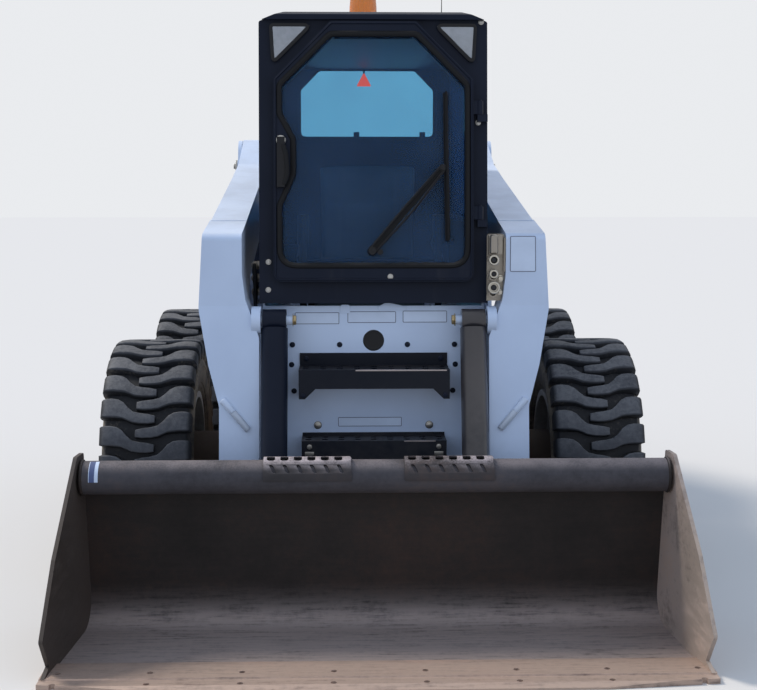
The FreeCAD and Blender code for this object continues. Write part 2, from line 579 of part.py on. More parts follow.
LEAN = "atan2(cab_front_lean; cab_front_top - cab_bottom)"


def leaned(height):
    """The distance up the cab's leaning front for a height above ground."""
    return "((%s) - cab_bottom) / cos(%s)" % (height, LEAN)


def lean_with_cab(thing):
    """Stand a piece that was drawn upright on the cab's leaning front plane."""
    thing.Placement = FreeCAD.Placement(V(), FreeCAD.Rotation(V(1, 0, 0), -size(LEAN)))
    bind(thing, Placement__Rotation__Angle="-" + LEAN, Placement__Base__y="cab_front_y",
         Placement__Base__z="cab_bottom")
    return thing


def octagon(half, low, high, chamfer, corner="40", height=lambda text: text):
    """A door-shaped outline: rounded at the foot and cut off at the top corners."""
    half = "(%s)" % half
    return [("-" + half, height(low), corner), (half, height(low), corner),
            (half, height(high + " - " + chamfer)),
            ("%s - %s" % (half, chamfer), height(high)), ("-%s + %s" % (half, chamfer), height(high)),
            ("-" + half, height(high + " - " + chamfer))]


def make_cab():
    """The hollow cab frame with its door, rear and side openings, its roof and its windows."""
    shell_top = "cab_front_top - roof_metal"
    outline = [("cab_front_y", "cab_bottom"), ("cab_front_y + cab_front_lean", shell_top),
               ("cab_rear_y", shell_top), ("cab_rear_y", "cab_bottom")]
    cab = slab("CabFrame", "YZ", "-cab_half", "cab_half", [outline])
    cut(cab, "YZ", "-cab_half + cab_wall", "cab_half - cab_wall", [[
        ("cab_front_y + cab_wall", "cab_bottom - 1"),
        ("cab_front_y + cab_front_lean + cab_wall", shell_top + " - cab_wall"),
        ("cab_rear_y - cab_wall", shell_top + " - cab_wall"), ("cab_rear_y - cab_wall", "cab_bottom - 1")]])
    cut(cab, "XZ", "cab_front_y - 20", "cab_front_y + cab_front_lean + cab_wall + 20",
        [octagon("opening_half", "door_bottom + 30", "door_top - 40", "door_chamfer")])
    cut(cab, "XZ", "cab_rear_y - cab_wall - 10", "cab_rear_y + 10",
        [octagon("rear_open_half", "rear_open_bottom", "pane_top - 3", "rear_open_chamfer", "30")])
    side_opening = [("side_open_front_y", "side_open_bottom", "40"),
                    ("side_open_rear_y", "side_open_bottom", "40"),
                    ("side_open_rear_y", "side_open_top", "40"),
                    ("side_open_front_y + 25", "side_open_top", "40")]
    cut(cab, "YZ", "-cab_half - 10", "cab_half + 10", [side_opening])
    node(cab, "cab_frame")
    brow, crown = "(cab_front_y + cab_front_lean)", "cab_front_top + roof_crown"
    along = slab("RoofAlong", "YZ", "-cab_half", "cab_half", [[
        (brow + " + 2", shell_top), (brow + " + 2", "cab_front_top + 5"),
        (brow + " - roof_over", "cab_front_top + 5"),
        (brow + " - roof_over", crown + " - 12", "6"), (brow + " + 20", crown), ("cab_rear_y - 20", crown),
        ("cab_rear_y + roof_over", crown + " - 12", "6"), ("cab_rear_y + roof_over", shell_top)]])
    across = slab("RoofAcross", "XZ", brow + " - roof_over - 5", "cab_rear_y + roof_over + 5", [[
        ("-cab_half", shell_top), ("cab_half", shell_top), ("cab_half", "cab_front_top", "8"),
        ("cab_half - 84", "cab_front_top + roof_crown", "30"),
        ("-cab_half + 84", "cab_front_top + roof_crown", "30"),
        ("-cab_half", "cab_front_top", "8")]])
    node(overlap("CabRoof", along, across), "cab_roof")
    panes = [slab("SidePane", "YZ", "cab_half - cab_wall - glass_thickness", "cab_half - cab_wall", [[
        ("side_open_front_y - pane_lap", "side_open_bottom - pane_lap"),
        ("side_open_rear_y + pane_lap", "side_open_bottom - pane_lap"),
        ("side_open_rear_y + pane_lap", "side_open_top + 18"),
        ("side_open_front_y + 5", "side_open_top + 18")]])]
    panes.append(mirrored("SidePaneTwin", panes[0]))
    panes.append(slab("RearPane", "XZ", "cab_rear_y - cab_wall - glass_thickness", "cab_rear_y - cab_wall",
                      [octagon("rear_open_half + 10", "rear_open_bottom - 15", "pane_top - 6",
                               "rear_open_chamfer",
                               "30")]))
    node(together("CabWindows", panes), "cab_windows")
    lamp = slab("WorkLamp", "XZ", "-lamp_deep", "0", [[
        ("lamp_in", leaned("lamp_top")), ("lamp_out - 7", leaned("lamp_low")),
        ("lamp_out", leaned("lamp_top"))]])
    node(lean_with_cab(both_sides("WorkLamps", lamp)), "work_lamps")


def make_door():
    """The front door: a pressed frame with its glass, handle, hinges and wiper."""
    front, back = "-door_gap - door_metal", "-door_gap"
    door = slab("DoorFrame", "XZ", front, back, [
        octagon("door_half", "door_bottom", "door_top", "door_chamfer", "30", leaned)])
    glass = octagon("pane_half", "pane_bottom", "pane_top", "pane_chamfer", "58", leaned)
    tall = "(pane_top - pane_bottom)"
    jog = [("-pane_half", leaned("pane_bottom + 0.656 * " + tall)),
           ("-pane_half + 46", leaned("pane_bottom + 0.546 * " + tall), "16"),
           ("-pane_half + 46", leaned("pane_bottom + 0.395 * " + tall), "16"),
           ("-pane_half", leaned("pane_bottom + 0.2575 * " + tall))]
    cut(door, "XZ", front + " - 1", back + " + 1", [glass + jog])
    pane_seat = octagon("pane_half + 12", "pane_bottom - 12", "pane_top + 12", "pane_chamfer", "58", leaned)
    cut(door, "XZ", back + " - glass_thickness - 2", back + " + 1", [pane_seat])
    knuckles, leaves = [], []
    axis_y = "-door_gap - door_metal / 2"
    for i, height in enumerate(("door_bottom + 207", "door_top - 307")):
        low = leaned(height)
        tab = slab("DoorTab%d" % i, "XY", low, low + " + 44", [
            rectangle("door_half - 8", axis_y + " - 7", "hinge_x", axis_y + " + 7")])
        barrel = rod("DoorKnuckle%d" % i, "Z", low, low + " + 44", "hinge_x", axis_y, "hinge_radius")
        bore = rod("DoorBore%d" % i, "Z", low + " - 5", low + " + 50", "hinge_x", axis_y, "hinge_bore")
        knuckles.append(less("DoorHinge%d" % i, fuse("DoorHingeSolid%d" % i, [tab, barrel]), bore))
        leaf = slab("DoorLeaf%d" % i, "XY", low + " - 25", low + " - 1", [
            rectangle("hinge_x - 9", axis_y + " - 8", "cab_half - 2", "0")])
        pin = rod("DoorPin%d" % i, "Z", low + " - 20", low + " + 48", "hinge_x", axis_y, "hinge_pin")
        leaves.append(fuse("DoorPost%d" % i, [leaf, pin]))
    node(lean_with_cab(fuse("DoorHung", [door] + knuckles)), "door_frame")
    node(lean_with_cab(together("DoorHinges", leaves)), "door_hinges")
    pane = slab("DoorGlass", "XZ", back + " - glass_thickness - 2 + rest_gap", back + " - 2", [
        octagon("pane_half + 11", "pane_bottom - 11", "pane_top + 11", "pane_chamfer", "57", leaned)])
    node(lean_with_cab(pane), "door_glass")
    handle = slab("DoorHandle", "XZ", front + " - 30", front, [
        rectangle("-door_half + 14", leaned("pane_bottom + 0.336 * " + tall), "-door_half + 40",
                  leaned("pane_bottom + 0.552 * " + tall))])
    cut(handle, "XZ", front + " - 18", front + " + 1", [
        rectangle("-door_half + 13", leaned("pane_bottom + 0.382 * " + tall), "-door_half + 41",
                  leaned("pane_bottom + 0.506 * " + tall))])
    node(lean_with_cab(handle), "door_handle")
    arm_y = "-door_gap - glass_thickness - 2"
    hub = rod("WiperHub", "Y", front + " - 12", arm_y, "-5", leaned("pane_bottom + 47"), "13")
    stalk = slab("WiperArm", "XZ", front + " - 12", front + " - 4", [[
        ("-12", leaned("pane_bottom + 52")), ("0", leaned("pane_bottom + 40")),
        ("236", leaned("pane_bottom + 0.414 * " + tall)),
        ("225", leaned("pane_bottom + 11 + 0.414 * " + tall))]])
    blade = slab("WiperBlade", "XZ", front + " - 4", front + " + 4", [[
        ("238", leaned("pane_bottom + 83")), ("250", leaned("pane_bottom + 83")),
        ("243", leaned("pane_top - 194")),
        ("231", leaned("pane_top - 194"))]])
    node(lean_with_cab(fuse("Wiper", [hub, stalk, blade])), "wiper")


def tube_along(name, points, radius, bend):
    """A round bar or hose along points, its corners turned on arcs of one radius."""
    edges, start = [], points[0]
    for here, following in zip(points[1:-1], points[2:]):
        back, ahead = (start - here), (following - here)
        half = back.getAngle(ahead) / 2
        reach = bend / math.tan(half)
        into = here + V(back).normalize() * reach
        out = here + V(ahead).normalize() * reach
        centre = here + (V(back).normalize() + V(ahead).normalize()).normalize() * (bend / math.sin(half))
        middle = centre + (here - centre).normalize() * bend
        edges += [Part.LineSegment(start, into).toShape(), Part.Arc(into, middle, out).toShape()]
        start = out
    edges.append(Part.LineSegment(start, points[-1]).toShape())
    path = Part.Wire(edges)
    section = Part.Wire([Part.Circle(points[0], points[1] - points[0], radius).toShape()])
    tube = doc.addObject("Part::Feature", name)
    tube.Shape = path.makePipeShell([section], True, False)
    return tube


def make_cab_inside():
    """Floor and seat pedestal, seat, control levers and seat bar."""
    node(slab("CabFloor", "YZ", "-side_half + side_metal + 6", "side_half - side_metal - 6", [[
        ("floor_front_y", "floor_z - floor_metal"), ("cab_rear_y - 40", "floor_z - floor_metal"),
        ("cab_rear_y - 40", "seat_z"), ("pedestal_y", "seat_z", "20"), ("pedestal_y - 30", "floor_z"),
        ("floor_front_y", "floor_z")]]), "cab_floor")
    base, back_y_low = "seat_z + rest_gap", "seat_rear_y + 6"
    cushion = slab("SeatCushion", "YZ", "-seat_half", "seat_half", [[
        ("seat_front_y", base), ("seat_rear_y", base), ("seat_rear_y", "seat_z + seat_cushion - 25", "20"),
        ("seat_front_y", "seat_z + seat_cushion", "35")]])
    back = slab("SeatBack", "YZ", "-seat_back_half", "seat_back_half", [[
        (back_y_low, base), (back_y_low + " + seat_back_deep", base),
        (back_y_low + " + seat_back_deep + 35", "seat_z + seat_back_rise - 5", "30"),
        (back_y_low + " + 46", "seat_z + seat_back_rise", "30")]])
    node(together("Seat", [cushion, back]), "seat")
    grip_low = "floor_z + lever_length"
    stick = rod("LeverStick", "Z", "floor_z", grip_low, "lever_x", "lever_y", "lever_radius")
    grip = rod("LeverGrip", "Z", grip_low, grip_low + " + grip_length", "lever_x", "lever_y", "grip_radius")
    box = slab("LeverBox", "XY", "floor_z", "floor_z + lever_box_rise", [rectangle(
        "lever_x - lever_box_half", "lever_y - lever_box_front",
        "lever_x + lever_box_half", "lever_y + lever_box_rear")])
    node(both_sides("Levers", fuse("Lever", [stick, grip, box])), "control_levers")
    rear = [(across, "bar_rear_y", "bar_rear_z") for across in ("cab_half - cab_wall", "bar_half")]
    route = rear + [("bar_half", "bar_front_y", "bar_front_z")]
    route += [("-(%s)" % across, along, up) for across, along, up in reversed(route)]
    corners = [V(*[size(place) for place in point]) for point in route]
    node(tube_along("SeatBarTube", corners, size("bar_radius"), size("bar_bend")), "seat_bar")
    seat = "cab_front_top + roof_crown"
    node(rod("BeaconBase", "Z", seat, seat + " + beacon_base", "beacon_x", "beacon_y", "beacon_radius + 6"),
         "beacon_base")
    lens = rod("BeaconLens", "Z", seat + " + beacon_base", "beacon_top", "beacon_x", "beacon_y",
               "beacon_radius")
    node(lens, "beacon_lens")


# Lift arms

def make_arms():
    """Both lift arms with their knees, bosses and cross tubes."""
    side_view = slab("KneeSide", "YZ", "knee_inner_low - 20", "knee_outer_wide + 20", [[
        ("hitch_y - 44", "hitch_z + 40"), ("knee_front_y - 36", "knee_shin_z"),
        ("knee_front_y", "knee_crease_z"),
        ("knee_front_y", "knee_top", "24"), ("-700", "knee_top + 42"), ("-640", "1072"), ("-800", "1030"),
        ("-868", "860"), ("-905", "480"), ("hitch_y + 48", "hitch_z + 20")]])
    front_view = slab("KneeFront", "XZ", "hitch_y - 80", "-600", [[
        ("knee_inner_low", "hitch_z - 80"), ("knee_outer_low", "hitch_z - 80"), ("knee_outer_low", "680", "60"),
        ("knee_outer_wide - 32", "knee_swell_z - 185"), ("knee_outer_wide", "knee_swell_z", "90"),
        ("knee_outer_top", "knee_top + 60"), ("knee_inner_top", "knee_top + 60"),
        ("knee_inner_top", "knee_hip_z", "60"),
        ("knee_inner_top - 10", "knee_hip_z - 85"), ("knee_inner_low", "knee_waist_z", "40")]])
    knee = overlap("Knee", side_view, front_view)
    beam = slab("Beam", "YZ", "beam_inner", "beam_outer", [[
        ("-720", "knee_top + 40"), ("150", "1437"), ("beam_crest_y", "beam_crest_z", "150"),
        ("lift_pivot_y - 195", "lift_pivot_z + 118", "100"),
        ("lift_pivot_y", "lift_pivot_z + lift_boss"), ("lift_pivot_y + 40", "lift_pivot_z"),
        ("lift_pivot_y", "lift_pivot_z - lift_boss"), ("beam_step_y + 200", "beam_step_z + 66", "120"),
        ("beam_step_y", "beam_step_z", "120"), ("-200", "1162", "200"), ("-650", "beam_front_z")]])
    heel = rod("HitchBoss", "X", "knee_inner_low", "knee_outer_low", "hitch_y", "hitch_z", "hitch_boss")
    eye = rod("LiftEye", "X", "beam_inner - eye_inner", "beam_outer + eye_outer", "lift_pivot_y",
              "lift_pivot_z", "lift_boss")
    tilt_boss = rod("TiltBoss", "X", "tilt_x + tilt_radius + pin_gap", "knee_inner_low + tilt_boss_end",
                    "tilt_top_y",
                    "tilt_top_z", "tilt_boss")
    tilt_pin = rod("TiltPin", "X", "tilt_x - tilt_radius - 16", "knee_inner_top", "tilt_top_y", "tilt_top_z",
                   "tilt_pin")
    lugs = [slab("LiftLug" + name, "YZ", low, high, [[
        ("lift_rod_y - 95", "1275"), ("lift_rod_y + 95", "1315"), ("lift_rod_y + 50", "lift_rod_z - 48", "40"),
        ("lift_rod_y - 50", "lift_rod_z - 48", "40")]])
        for name, low, high in (("In", "beam_inner + 2", "lift_x - lift_eye_width / 2 - pin_gap"),
                                ("Out", "lift_x + lift_eye_width / 2 + pin_gap", "beam_outer - 2"))]
    bar = tube_along("KneeBar", [V(498, -988, 700), V(419, -998, 608)], 8, 20)
    solid = fuse("ArmSolid", [knee, beam, heel, eye, tilt_boss, tilt_pin] + lugs + [bar])
    bores = fuse("ArmBores", [
        rod("HitchBore", "X", "knee_inner_low - 10", "knee_outer_low + 10", "hitch_y", "hitch_z", "hitch_bore"),
        rod("LiftBore", "X", "beam_inner - 20", "beam_outer + 20", "lift_pivot_y", "lift_pivot_z",
            "lift_bore")])
    left_and_right("lift_arm", less("LiftArm", solid, bores))
    node(together("CrossTubes", [
        rod("RearCrossTube", "X", "-beam_inner", "beam_inner", "rear_cross_y", "rear_cross_z", "cross_radius"),
        rod("FrontCrossTube", "X", "-knee_inner_low", "knee_inner_low", "front_cross_y", "front_cross_z",
            "cross_radius - 1")]), "cross_tubes")


def make_couplers():
    """The auxiliary hydraulic block on the left arm's inner face, its plate and three quick couplers."""
    low, high, face = "coupler_z - 83", "coupler_z + 139", "coupler_y"
    inner = "(knee_inner_top - rest_gap)"
    plate = slab("CouplerPlate", "XZ", face, face + " + coupler_plate", [[
        ("coupler_x - coupler_radius - 3", low), (inner + " - 14", low),
        (inner + " - 11", "knee_hip_z - 85"), (inner + " - 1", "knee_hip_z"),
        (inner + " - 1", high, "8"), ("coupler_x - coupler_radius - 3", high, "8")]])
    flange = slab("CouplerFlange", "YZ", inner + " - 6", inner, [
        rectangle(face + " - 20", "knee_hip_z + 5", face + " + coupler_plate + 4", high + " - 12")])
    block = slab("CouplerBlock", "XZ", face + " - 34", face, [
        rectangle("coupler_x - coupler_radius", high + " - 66", inner + " - 12", high + " - 4")])
    solids, mouths = [plate, flange, block], []
    for i, (drop, stand) in enumerate((("0", "44"), ("55", "38"), ("110", "30"))):
        height = "coupler_z + 55 - " + drop
        solids.append(rod("Coupler%d" % i, "Y", "%s - %s" % (face, stand), face + " + 2", "coupler_x", height,
                          "coupler_radius"))
        solids.append(rod("CouplerCollar%d" % i, "Y", "%s - %s / 3" % (face, stand), face + " + 2",
                          "coupler_x", height,
                          "coupler_radius + 3"))
        mouths.append(rod("CouplerMouth%d" % i, "Y", "%s - %s - 1" % (face, stand), face + " + 4", "coupler_x",
                          height,
                          "coupler_bore"))
    node(less("HoseCouplers", fuse("CouplerSolid", solids), fuse("CouplerMouths", mouths)), "hose_couplers")


# Bucket and its attachment frame

HITCH_TURN = "hitch_lean * 1 deg"


def hitch_frame(thing):
    """Place a piece drawn about the bucket pivot, leaning with the attachment frame."""
    thing.Placement = FreeCAD.Placement(V(), FreeCAD.Rotation(V(1, 0, 0), size("hitch_lean")))
    bind(thing, Placement__Rotation__Angle=HITCH_TURN, Placement__Base__y="hitch_y",
         Placement__Base__z="hitch_z")
    return thing


def make_attach_frame():
    """The attachment frame: a plate with lugs for the arms' pivots and the tilt rods."""
    face, back = "-hitch_reach - hitch_plate", "-hitch_reach"
    plate = slab("HitchPlate", "XZ", face, back, [[
        ("-hitch_half", "-118"), ("hitch_half", "-118"), ("hitch_half", "170", "50"),
        ("hitch_half - 60", "214"),
        ("-hitch_half + 60", "214"), ("-hitch_half", "170", "50")]])
    hinge = [(back, "-105"), ("46", "-46", "40"), ("46", "46", "40"), ("-34", "96"), ("-34", "172", "34"),
             (back, "188")]
    outer = [(back, "-105"), ("46", "-46", "40"), ("46", "46", "40"), (back, "130")]
    inner = [(back, "50"), ("-34", "88", "30"), ("-34", "172", "34"), (back, "188")]
    eye_side = "tilt_x + tilt_eye_width / 2 + 1"
    lugs = [slab("SharedLug", "YZ", eye_side, eye_side + " + hitch_lug", [hinge]),
            slab("TiltLug", "YZ", "tilt_x - tilt_eye_width / 2 - 1 - hitch_lug",
                 "tilt_x - tilt_eye_width / 2 - 1",
                 [inner]),
            slab("OuterLug", "YZ", "knee_outer_low + 6", "knee_outer_low + 6 + hitch_lug", [outer]),
            rod("HitchPin", "X", eye_side, "knee_outer_low + 14 + hitch_lug", "0", "0", "hitch_pin")]
    twins = [mirrored(lug.Name + "Twin", lug) for lug in lugs]
    node(hitch_frame(fuse("AttachFrame", [plate] + lugs + twins)), "attach_frame")


REACH = "(hitch_reach + hitch_plate + rest_gap)"


def back_y(height, inward="0"):
    """Where the bucket's back plane stands at a height, or a plane further into the bucket."""
    return "hitch_y - (%s + %s) / cos(%s) - ((%s) - hitch_z) * tan(%s)" % (
        REACH, inward, HITCH_TURN, height, HITCH_TURN)


def make_bucket():
    """The bucket: shell, side plates, cutting edge and the tube along its top."""
    floor_end = "edge_y + edge_deep"
    tube_y, skin_top = back_y("bucket_top", "tube_radius"), "bucket_top - tube_seat"
    skin = slab("BucketSkin", "YZ", "-edge_half", "edge_half", [[
        (floor_end, "0"), (back_y("0"), "0", "heel_radius"), (back_y(skin_top), skin_top),
        (back_y(skin_top, "bucket_metal"), skin_top),
        (back_y("bucket_metal", "bucket_metal"), "bucket_metal", "heel_radius - bucket_metal"),
        (floor_end, "bucket_metal")]])
    rear_y = back_y("0") + " + 60"
    inner_rear, inner_front = "bucket_rear_half - side_metal_bucket", "edge_half - side_metal_bucket"
    plan = slab("BucketPlan", "XY", "-1", "bucket_top + 100", [[
        ("-(%s)" % inner_front, "edge_y"), (inner_front, "edge_y"), (inner_rear, rear_y),
        ("-(%s)" % inner_rear, rear_y)]])
    groove = rod("TubeGroove", "X", "-edge_half", "edge_half", tube_y, "bucket_top", "tube_radius + rest_gap")
    node(less("BucketShell", overlap("BucketSheet", skin, plan), groove), "bucket_shell")
    flare = "atan2(edge_half - bucket_rear_half; %s - edge_y)" % rear_y
    side = slab("BucketSide", "YZ", "0", "side_metal_bucket", [[
        ("%s - (%s)" % (y, rear_y), z) + rest for y, z, *rest in (
            (back_y("0"), "0", ("heel_radius",)), (back_y("bucket_side_top - 15"), "bucket_side_top", ("10",)),
            ("side_crest_y", "bucket_side_top", ("16",)), ("side_knee_y", "side_knee_z", ()),
            ("edge_y + side_toe", "side_toe_z", ("12",)), ("edge_y + 115", "38", ()),
            ("edge_y + 62", "edge_metal", ()), (floor_end, "edge_metal", ()), (floor_end, "0", ()))
        for rest in [rest[0]]]])
    side.Placement = FreeCAD.Placement(V(), FreeCAD.Rotation(V(0, 0, 1), size(flare)))
    bind(side, Placement__Rotation__Angle=flare, Placement__Base__x=inner_rear, Placement__Base__y=rear_y)
    node(both_sides("BucketSides", side), "bucket_sides")
    holes = [("%s%d * edge_bolt_pitch / 2" % (sign, i), "edge_y + " + row, "edge_bolt_radius")
             for i in (1, 3, 5, 7) for sign in ("", "-") for row in ("edge_bolt_row", "edge_bolt_front")]
    edge = slab("CuttingEdge", "YZ", "-edge_half", "edge_half", [[
        ("edge_y", "0"), (floor_end, "0"), (floor_end, "edge_metal"), ("edge_y + 68", "edge_metal"),
        ("edge_y + 66", "edge_lip"), ("edge_y + 22", "edge_lip"), ("edge_y", "6")]])
    cut(edge, "XY", "-1", "edge_metal + 1", (), holes)
    corners = slab("EdgeCorner", "XY", "-1", "edge_metal + 1", [[
        ("edge_half - 330", "edge_y - 1"), ("edge_half + 1", "edge_y - 1"),
        ("edge_half + 1", "edge_y + edge_wear")]])
    node(less("WornEdge", edge, both_sides("EdgeCorners", corners)), "cutting_edge")
    tube_half = "%s + (edge_half - bucket_rear_half) * ((%s) - (%s)) / ((%s) - edge_y) - 1" % (
        inner_rear, rear_y, tube_y + " + tube_radius", rear_y)
    tube = rod("TopTube", "X", "-(%s)" % tube_half, tube_half, tube_y, "bucket_top", "tube_radius")
    node(tube, "bucket_tube")


# Hydraulic cylinders

def make_ram(label, base, eye, across, radii, reach, widths):
    """A cylinder in two sub-parts, barrel and rod, drawn along -Z from its base pin."""
    (base_y, base_z), (eye_y, eye_z) = base, eye
    barrel_radius, rod_radius, pin_bore, eye_radius = radii
    gland, rod_length, bottom = reach
    base_width, eye_width = widths
    turn = "-atan2(%s - %s; %s - %s)" % (base_y, eye_y, base_z, eye_z)
    length = "sqrt((%s - %s)^2 + (%s - %s)^2)" % (base_y, eye_y, base_z, eye_z)
    tube = rod(label + "Tube", "Z", "-(%s)" % gland, "-(%s)" % eye_radius, "0", "0", barrel_radius)
    head = rod(label + "Head", "X", "-(%s) / 2" % base_width, "(%s) / 2" % base_width, "0", "0",
               eye_radius + " + 8")
    hollow = rod(label + "Hollow", "Z", "-(%s) - 1" % gland, "-(%s)" % bottom,
                 "0", "0", rod_radius + " + rod_clearance")
    bore = rod(label + "Bore", "X", "-(%s)" % base_width, base_width, "0", "0", pin_bore)
    barrel = less(label + "Barrel", fuse(label + "BarrelSolid", [tube, head]),
                  fuse(label + "BarrelHoles", [hollow, bore]))
    bar = rod(label + "Bar", "Z", "-(%s)" % length, "-(%s) + %s" % (length, rod_length), "0", "0", rod_radius)
    end = rod(label + "Eye", "X", "-(%s) / 2" % eye_width, "(%s) / 2" % eye_width, "0", "-(%s)" % length,
              eye_radius)
    stem = fuse(label + "Rod", [bar, end])
    for piece, name in ((barrel, label + "_barrel"), (stem, label + "_rod")):
        piece.Placement = FreeCAD.Placement(V(), FreeCAD.Rotation(V(1, 0, 0), size(turn)))
        bind(piece, Placement__Rotation__Angle=turn, Placement__Base__x=across, Placement__Base__y=base_y,
             Placement__Base__z=base_z)
        left_and_right(name, piece)


def make_rams():
    """The tilt and lift cylinders of both arms."""
    make_ram("tilt", ("tilt_top_y", "tilt_top_z"), ("tilt_rod_y", "tilt_rod_z"), "tilt_x",
             ("tilt_radius", "tilt_rod_radius", "tilt_bore", "tilt_eye"),
             ("tilt_gland", "tilt_stem", "tilt_hollow"),
             ("2 * tilt_radius - 10", "tilt_eye_width"))
    make_ram("lift", ("lift_base_y", "lift_base_z"), ("lift_rod_y", "lift_rod_z"), "lift_x",
             ("lift_radius", "lift_rod_radius", "ram_bore", "lift_eye"),
             ("lift_gland", "lift_stem", "lift_hollow"),
             ("lift_eye_width", "lift_eye_width"))


make_wheels()
make_axles()
make_frame()
make_front()
make_body_sides()
make_uprights()
make_engine_end()
hang_tailgate()
make_cab()
make_door()
make_cab_inside()
make_arms()
make_couplers()
make_attach_frame()
make_bucket()
make_rams()
doc.recompute()

for thing in doc.Objects:
    if "Invalid" in thing.State or "Error" in thing.State:
        raise RuntimeError("%s could not be built: %s" % (thing.Name, thing.State))
for label, thing in NODES.items():
    if thing.Shape.isNull() or not thing.Shape.isValid() or not thing.Shape.Solids:
        raise RuntimeError("%s has no sound shape" % label)

os.makedirs("parts", exist_ok=True)
for label, thing in NODES.items():
    thing.Shape.exportStep("parts/%s.step" % label)
print("%d sub-parts written" % len(NODES))
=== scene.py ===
"""Looks of a skid steer loader, built around its packed construction.

Every length is in metres in the machine's own frame: -Y is the way it faces, +Z is up,
and +X is the operator's left, which is the right of the picture. Each sub-assembly is a
class with its sizes as fields; main() builds them in order.
"""
from __future__ import annotations

import json
import logging
import math
from dataclasses import dataclass, field
from enum import Enum
from typing import Iterable, Sequence

import bmesh
import bpy
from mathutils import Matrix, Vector

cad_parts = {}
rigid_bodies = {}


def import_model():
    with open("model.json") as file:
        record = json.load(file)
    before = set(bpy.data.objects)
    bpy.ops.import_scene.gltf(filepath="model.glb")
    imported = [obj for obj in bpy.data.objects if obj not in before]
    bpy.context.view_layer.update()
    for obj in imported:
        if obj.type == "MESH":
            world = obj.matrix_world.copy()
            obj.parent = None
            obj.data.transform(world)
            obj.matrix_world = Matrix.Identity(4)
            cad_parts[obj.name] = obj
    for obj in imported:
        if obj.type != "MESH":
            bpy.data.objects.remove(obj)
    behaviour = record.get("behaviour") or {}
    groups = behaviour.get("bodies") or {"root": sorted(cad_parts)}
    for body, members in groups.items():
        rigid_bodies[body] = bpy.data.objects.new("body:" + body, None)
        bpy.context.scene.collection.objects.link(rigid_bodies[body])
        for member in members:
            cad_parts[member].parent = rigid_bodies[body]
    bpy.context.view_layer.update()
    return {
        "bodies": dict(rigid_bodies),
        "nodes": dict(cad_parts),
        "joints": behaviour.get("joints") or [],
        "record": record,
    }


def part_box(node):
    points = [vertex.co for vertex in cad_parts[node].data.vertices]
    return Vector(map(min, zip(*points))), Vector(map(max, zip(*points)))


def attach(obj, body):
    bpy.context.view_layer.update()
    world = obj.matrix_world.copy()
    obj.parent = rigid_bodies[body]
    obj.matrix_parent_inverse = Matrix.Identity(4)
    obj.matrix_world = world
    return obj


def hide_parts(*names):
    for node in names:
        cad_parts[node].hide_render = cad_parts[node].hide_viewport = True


LOG = logging.getLogger("loader")
Point = tuple[float, float, float]
Colour = tuple[float, float, float]
Spot2 = tuple[float, float]
EDGE_LIMIT = 34.0
LEAST_LENGTH = 0.01
CORNER_REACH = 0.48


class Side(Enum):
    """The operator's left and right, as the sign of X."""

    LEFT = 1
    RIGHT = -1

    @property
    def word(self) -> str:
        """The side's name as the construction's parts spell it."""
        return self.name.lower()


class End(Enum):
    """The machine's two axles."""

    FRONT = "front"
    REAR = "rear"


class Axis(Enum):
    """A world axis, as the index of its coordinate."""

    X = 0
    Y = 1
    Z = 2


# Shader graphs

class Socket:
    """A shader value that Python's operators work on."""

    def __init__(self, graph: Graph, output: bpy.types.NodeSocket) -> None:
        """Wrap one output.

        Args:
            graph: The material's graph.
            output: The node output that holds the value.
        """
        self.graph = graph
        self.output = output

    def maths(self, operation: str, *values: Socket | float) -> Socket:
        """Add a Math node.

        Args:
            operation: The node's operation.
            values: Its inputs, in order.

        Returns:
            The node's result.
        """
        return self.graph.node("ShaderNodeMath", {"operation": operation},
                               dict(enumerate(values)))["Value"]

    def __add__(self, other: Socket | float) -> Socket:
        """Sum."""
        return self.maths("ADD", self, other)

    def __sub__(self, other: Socket | float) -> Socket:
        """Difference."""
        return self.maths("SUBTRACT", self, other)

    def __rsub__(self, other: float) -> Socket:
        """Difference from a number."""
        return self.maths("SUBTRACT", other, self)

    def __mul__(self, other: Socket | float) -> Socket:
        """Product."""
        return self.maths("MULTIPLY", self, other)

    def __pow__(self, other: Socket | float) -> Socket:
        """Power."""
        return self.maths("POWER", self, other)

    __radd__ = __add__
    __rmul__ = __mul__

    def least(self, other: Socket | float) -> Socket:
        """The smaller of two values."""
        return self.maths("MINIMUM", self, other)

    def most(self, other: Socket | float) -> Socket:
        """The larger of two values."""
        return self.maths("MAXIMUM", self, other)

    def sine(self) -> Socket:
        """Sine, of radians."""
        return self.maths("SINE", self)

    def spread(self, low: float, high: float) -> Socket:
        """A smooth step.

        Args:
            low: Where the result is 0.
            high: Where the result is 1.

        Returns:
            The eased value, from 0 to 1.
        """
        return self.graph.node(
            "ShaderNodeMapRange", {"interpolation_type": "SMOOTHSTEP", "clamp": True},
            {"Value": self, "From Min": low, "From Max": high, "To Min": 0.0,
             "To Max": 1.0})["Result"]


class Outputs:
    """A node whose outputs are read by name or place."""

    def __init__(self, graph: Graph, node: bpy.types.Node) -> None:
        """Wrap a node of a graph."""
        self.graph = graph
        self.node = node

    def __getitem__(self, key: str | int) -> Socket:
        """One output as a value."""
        return Socket(self.graph, self.node.outputs[key])


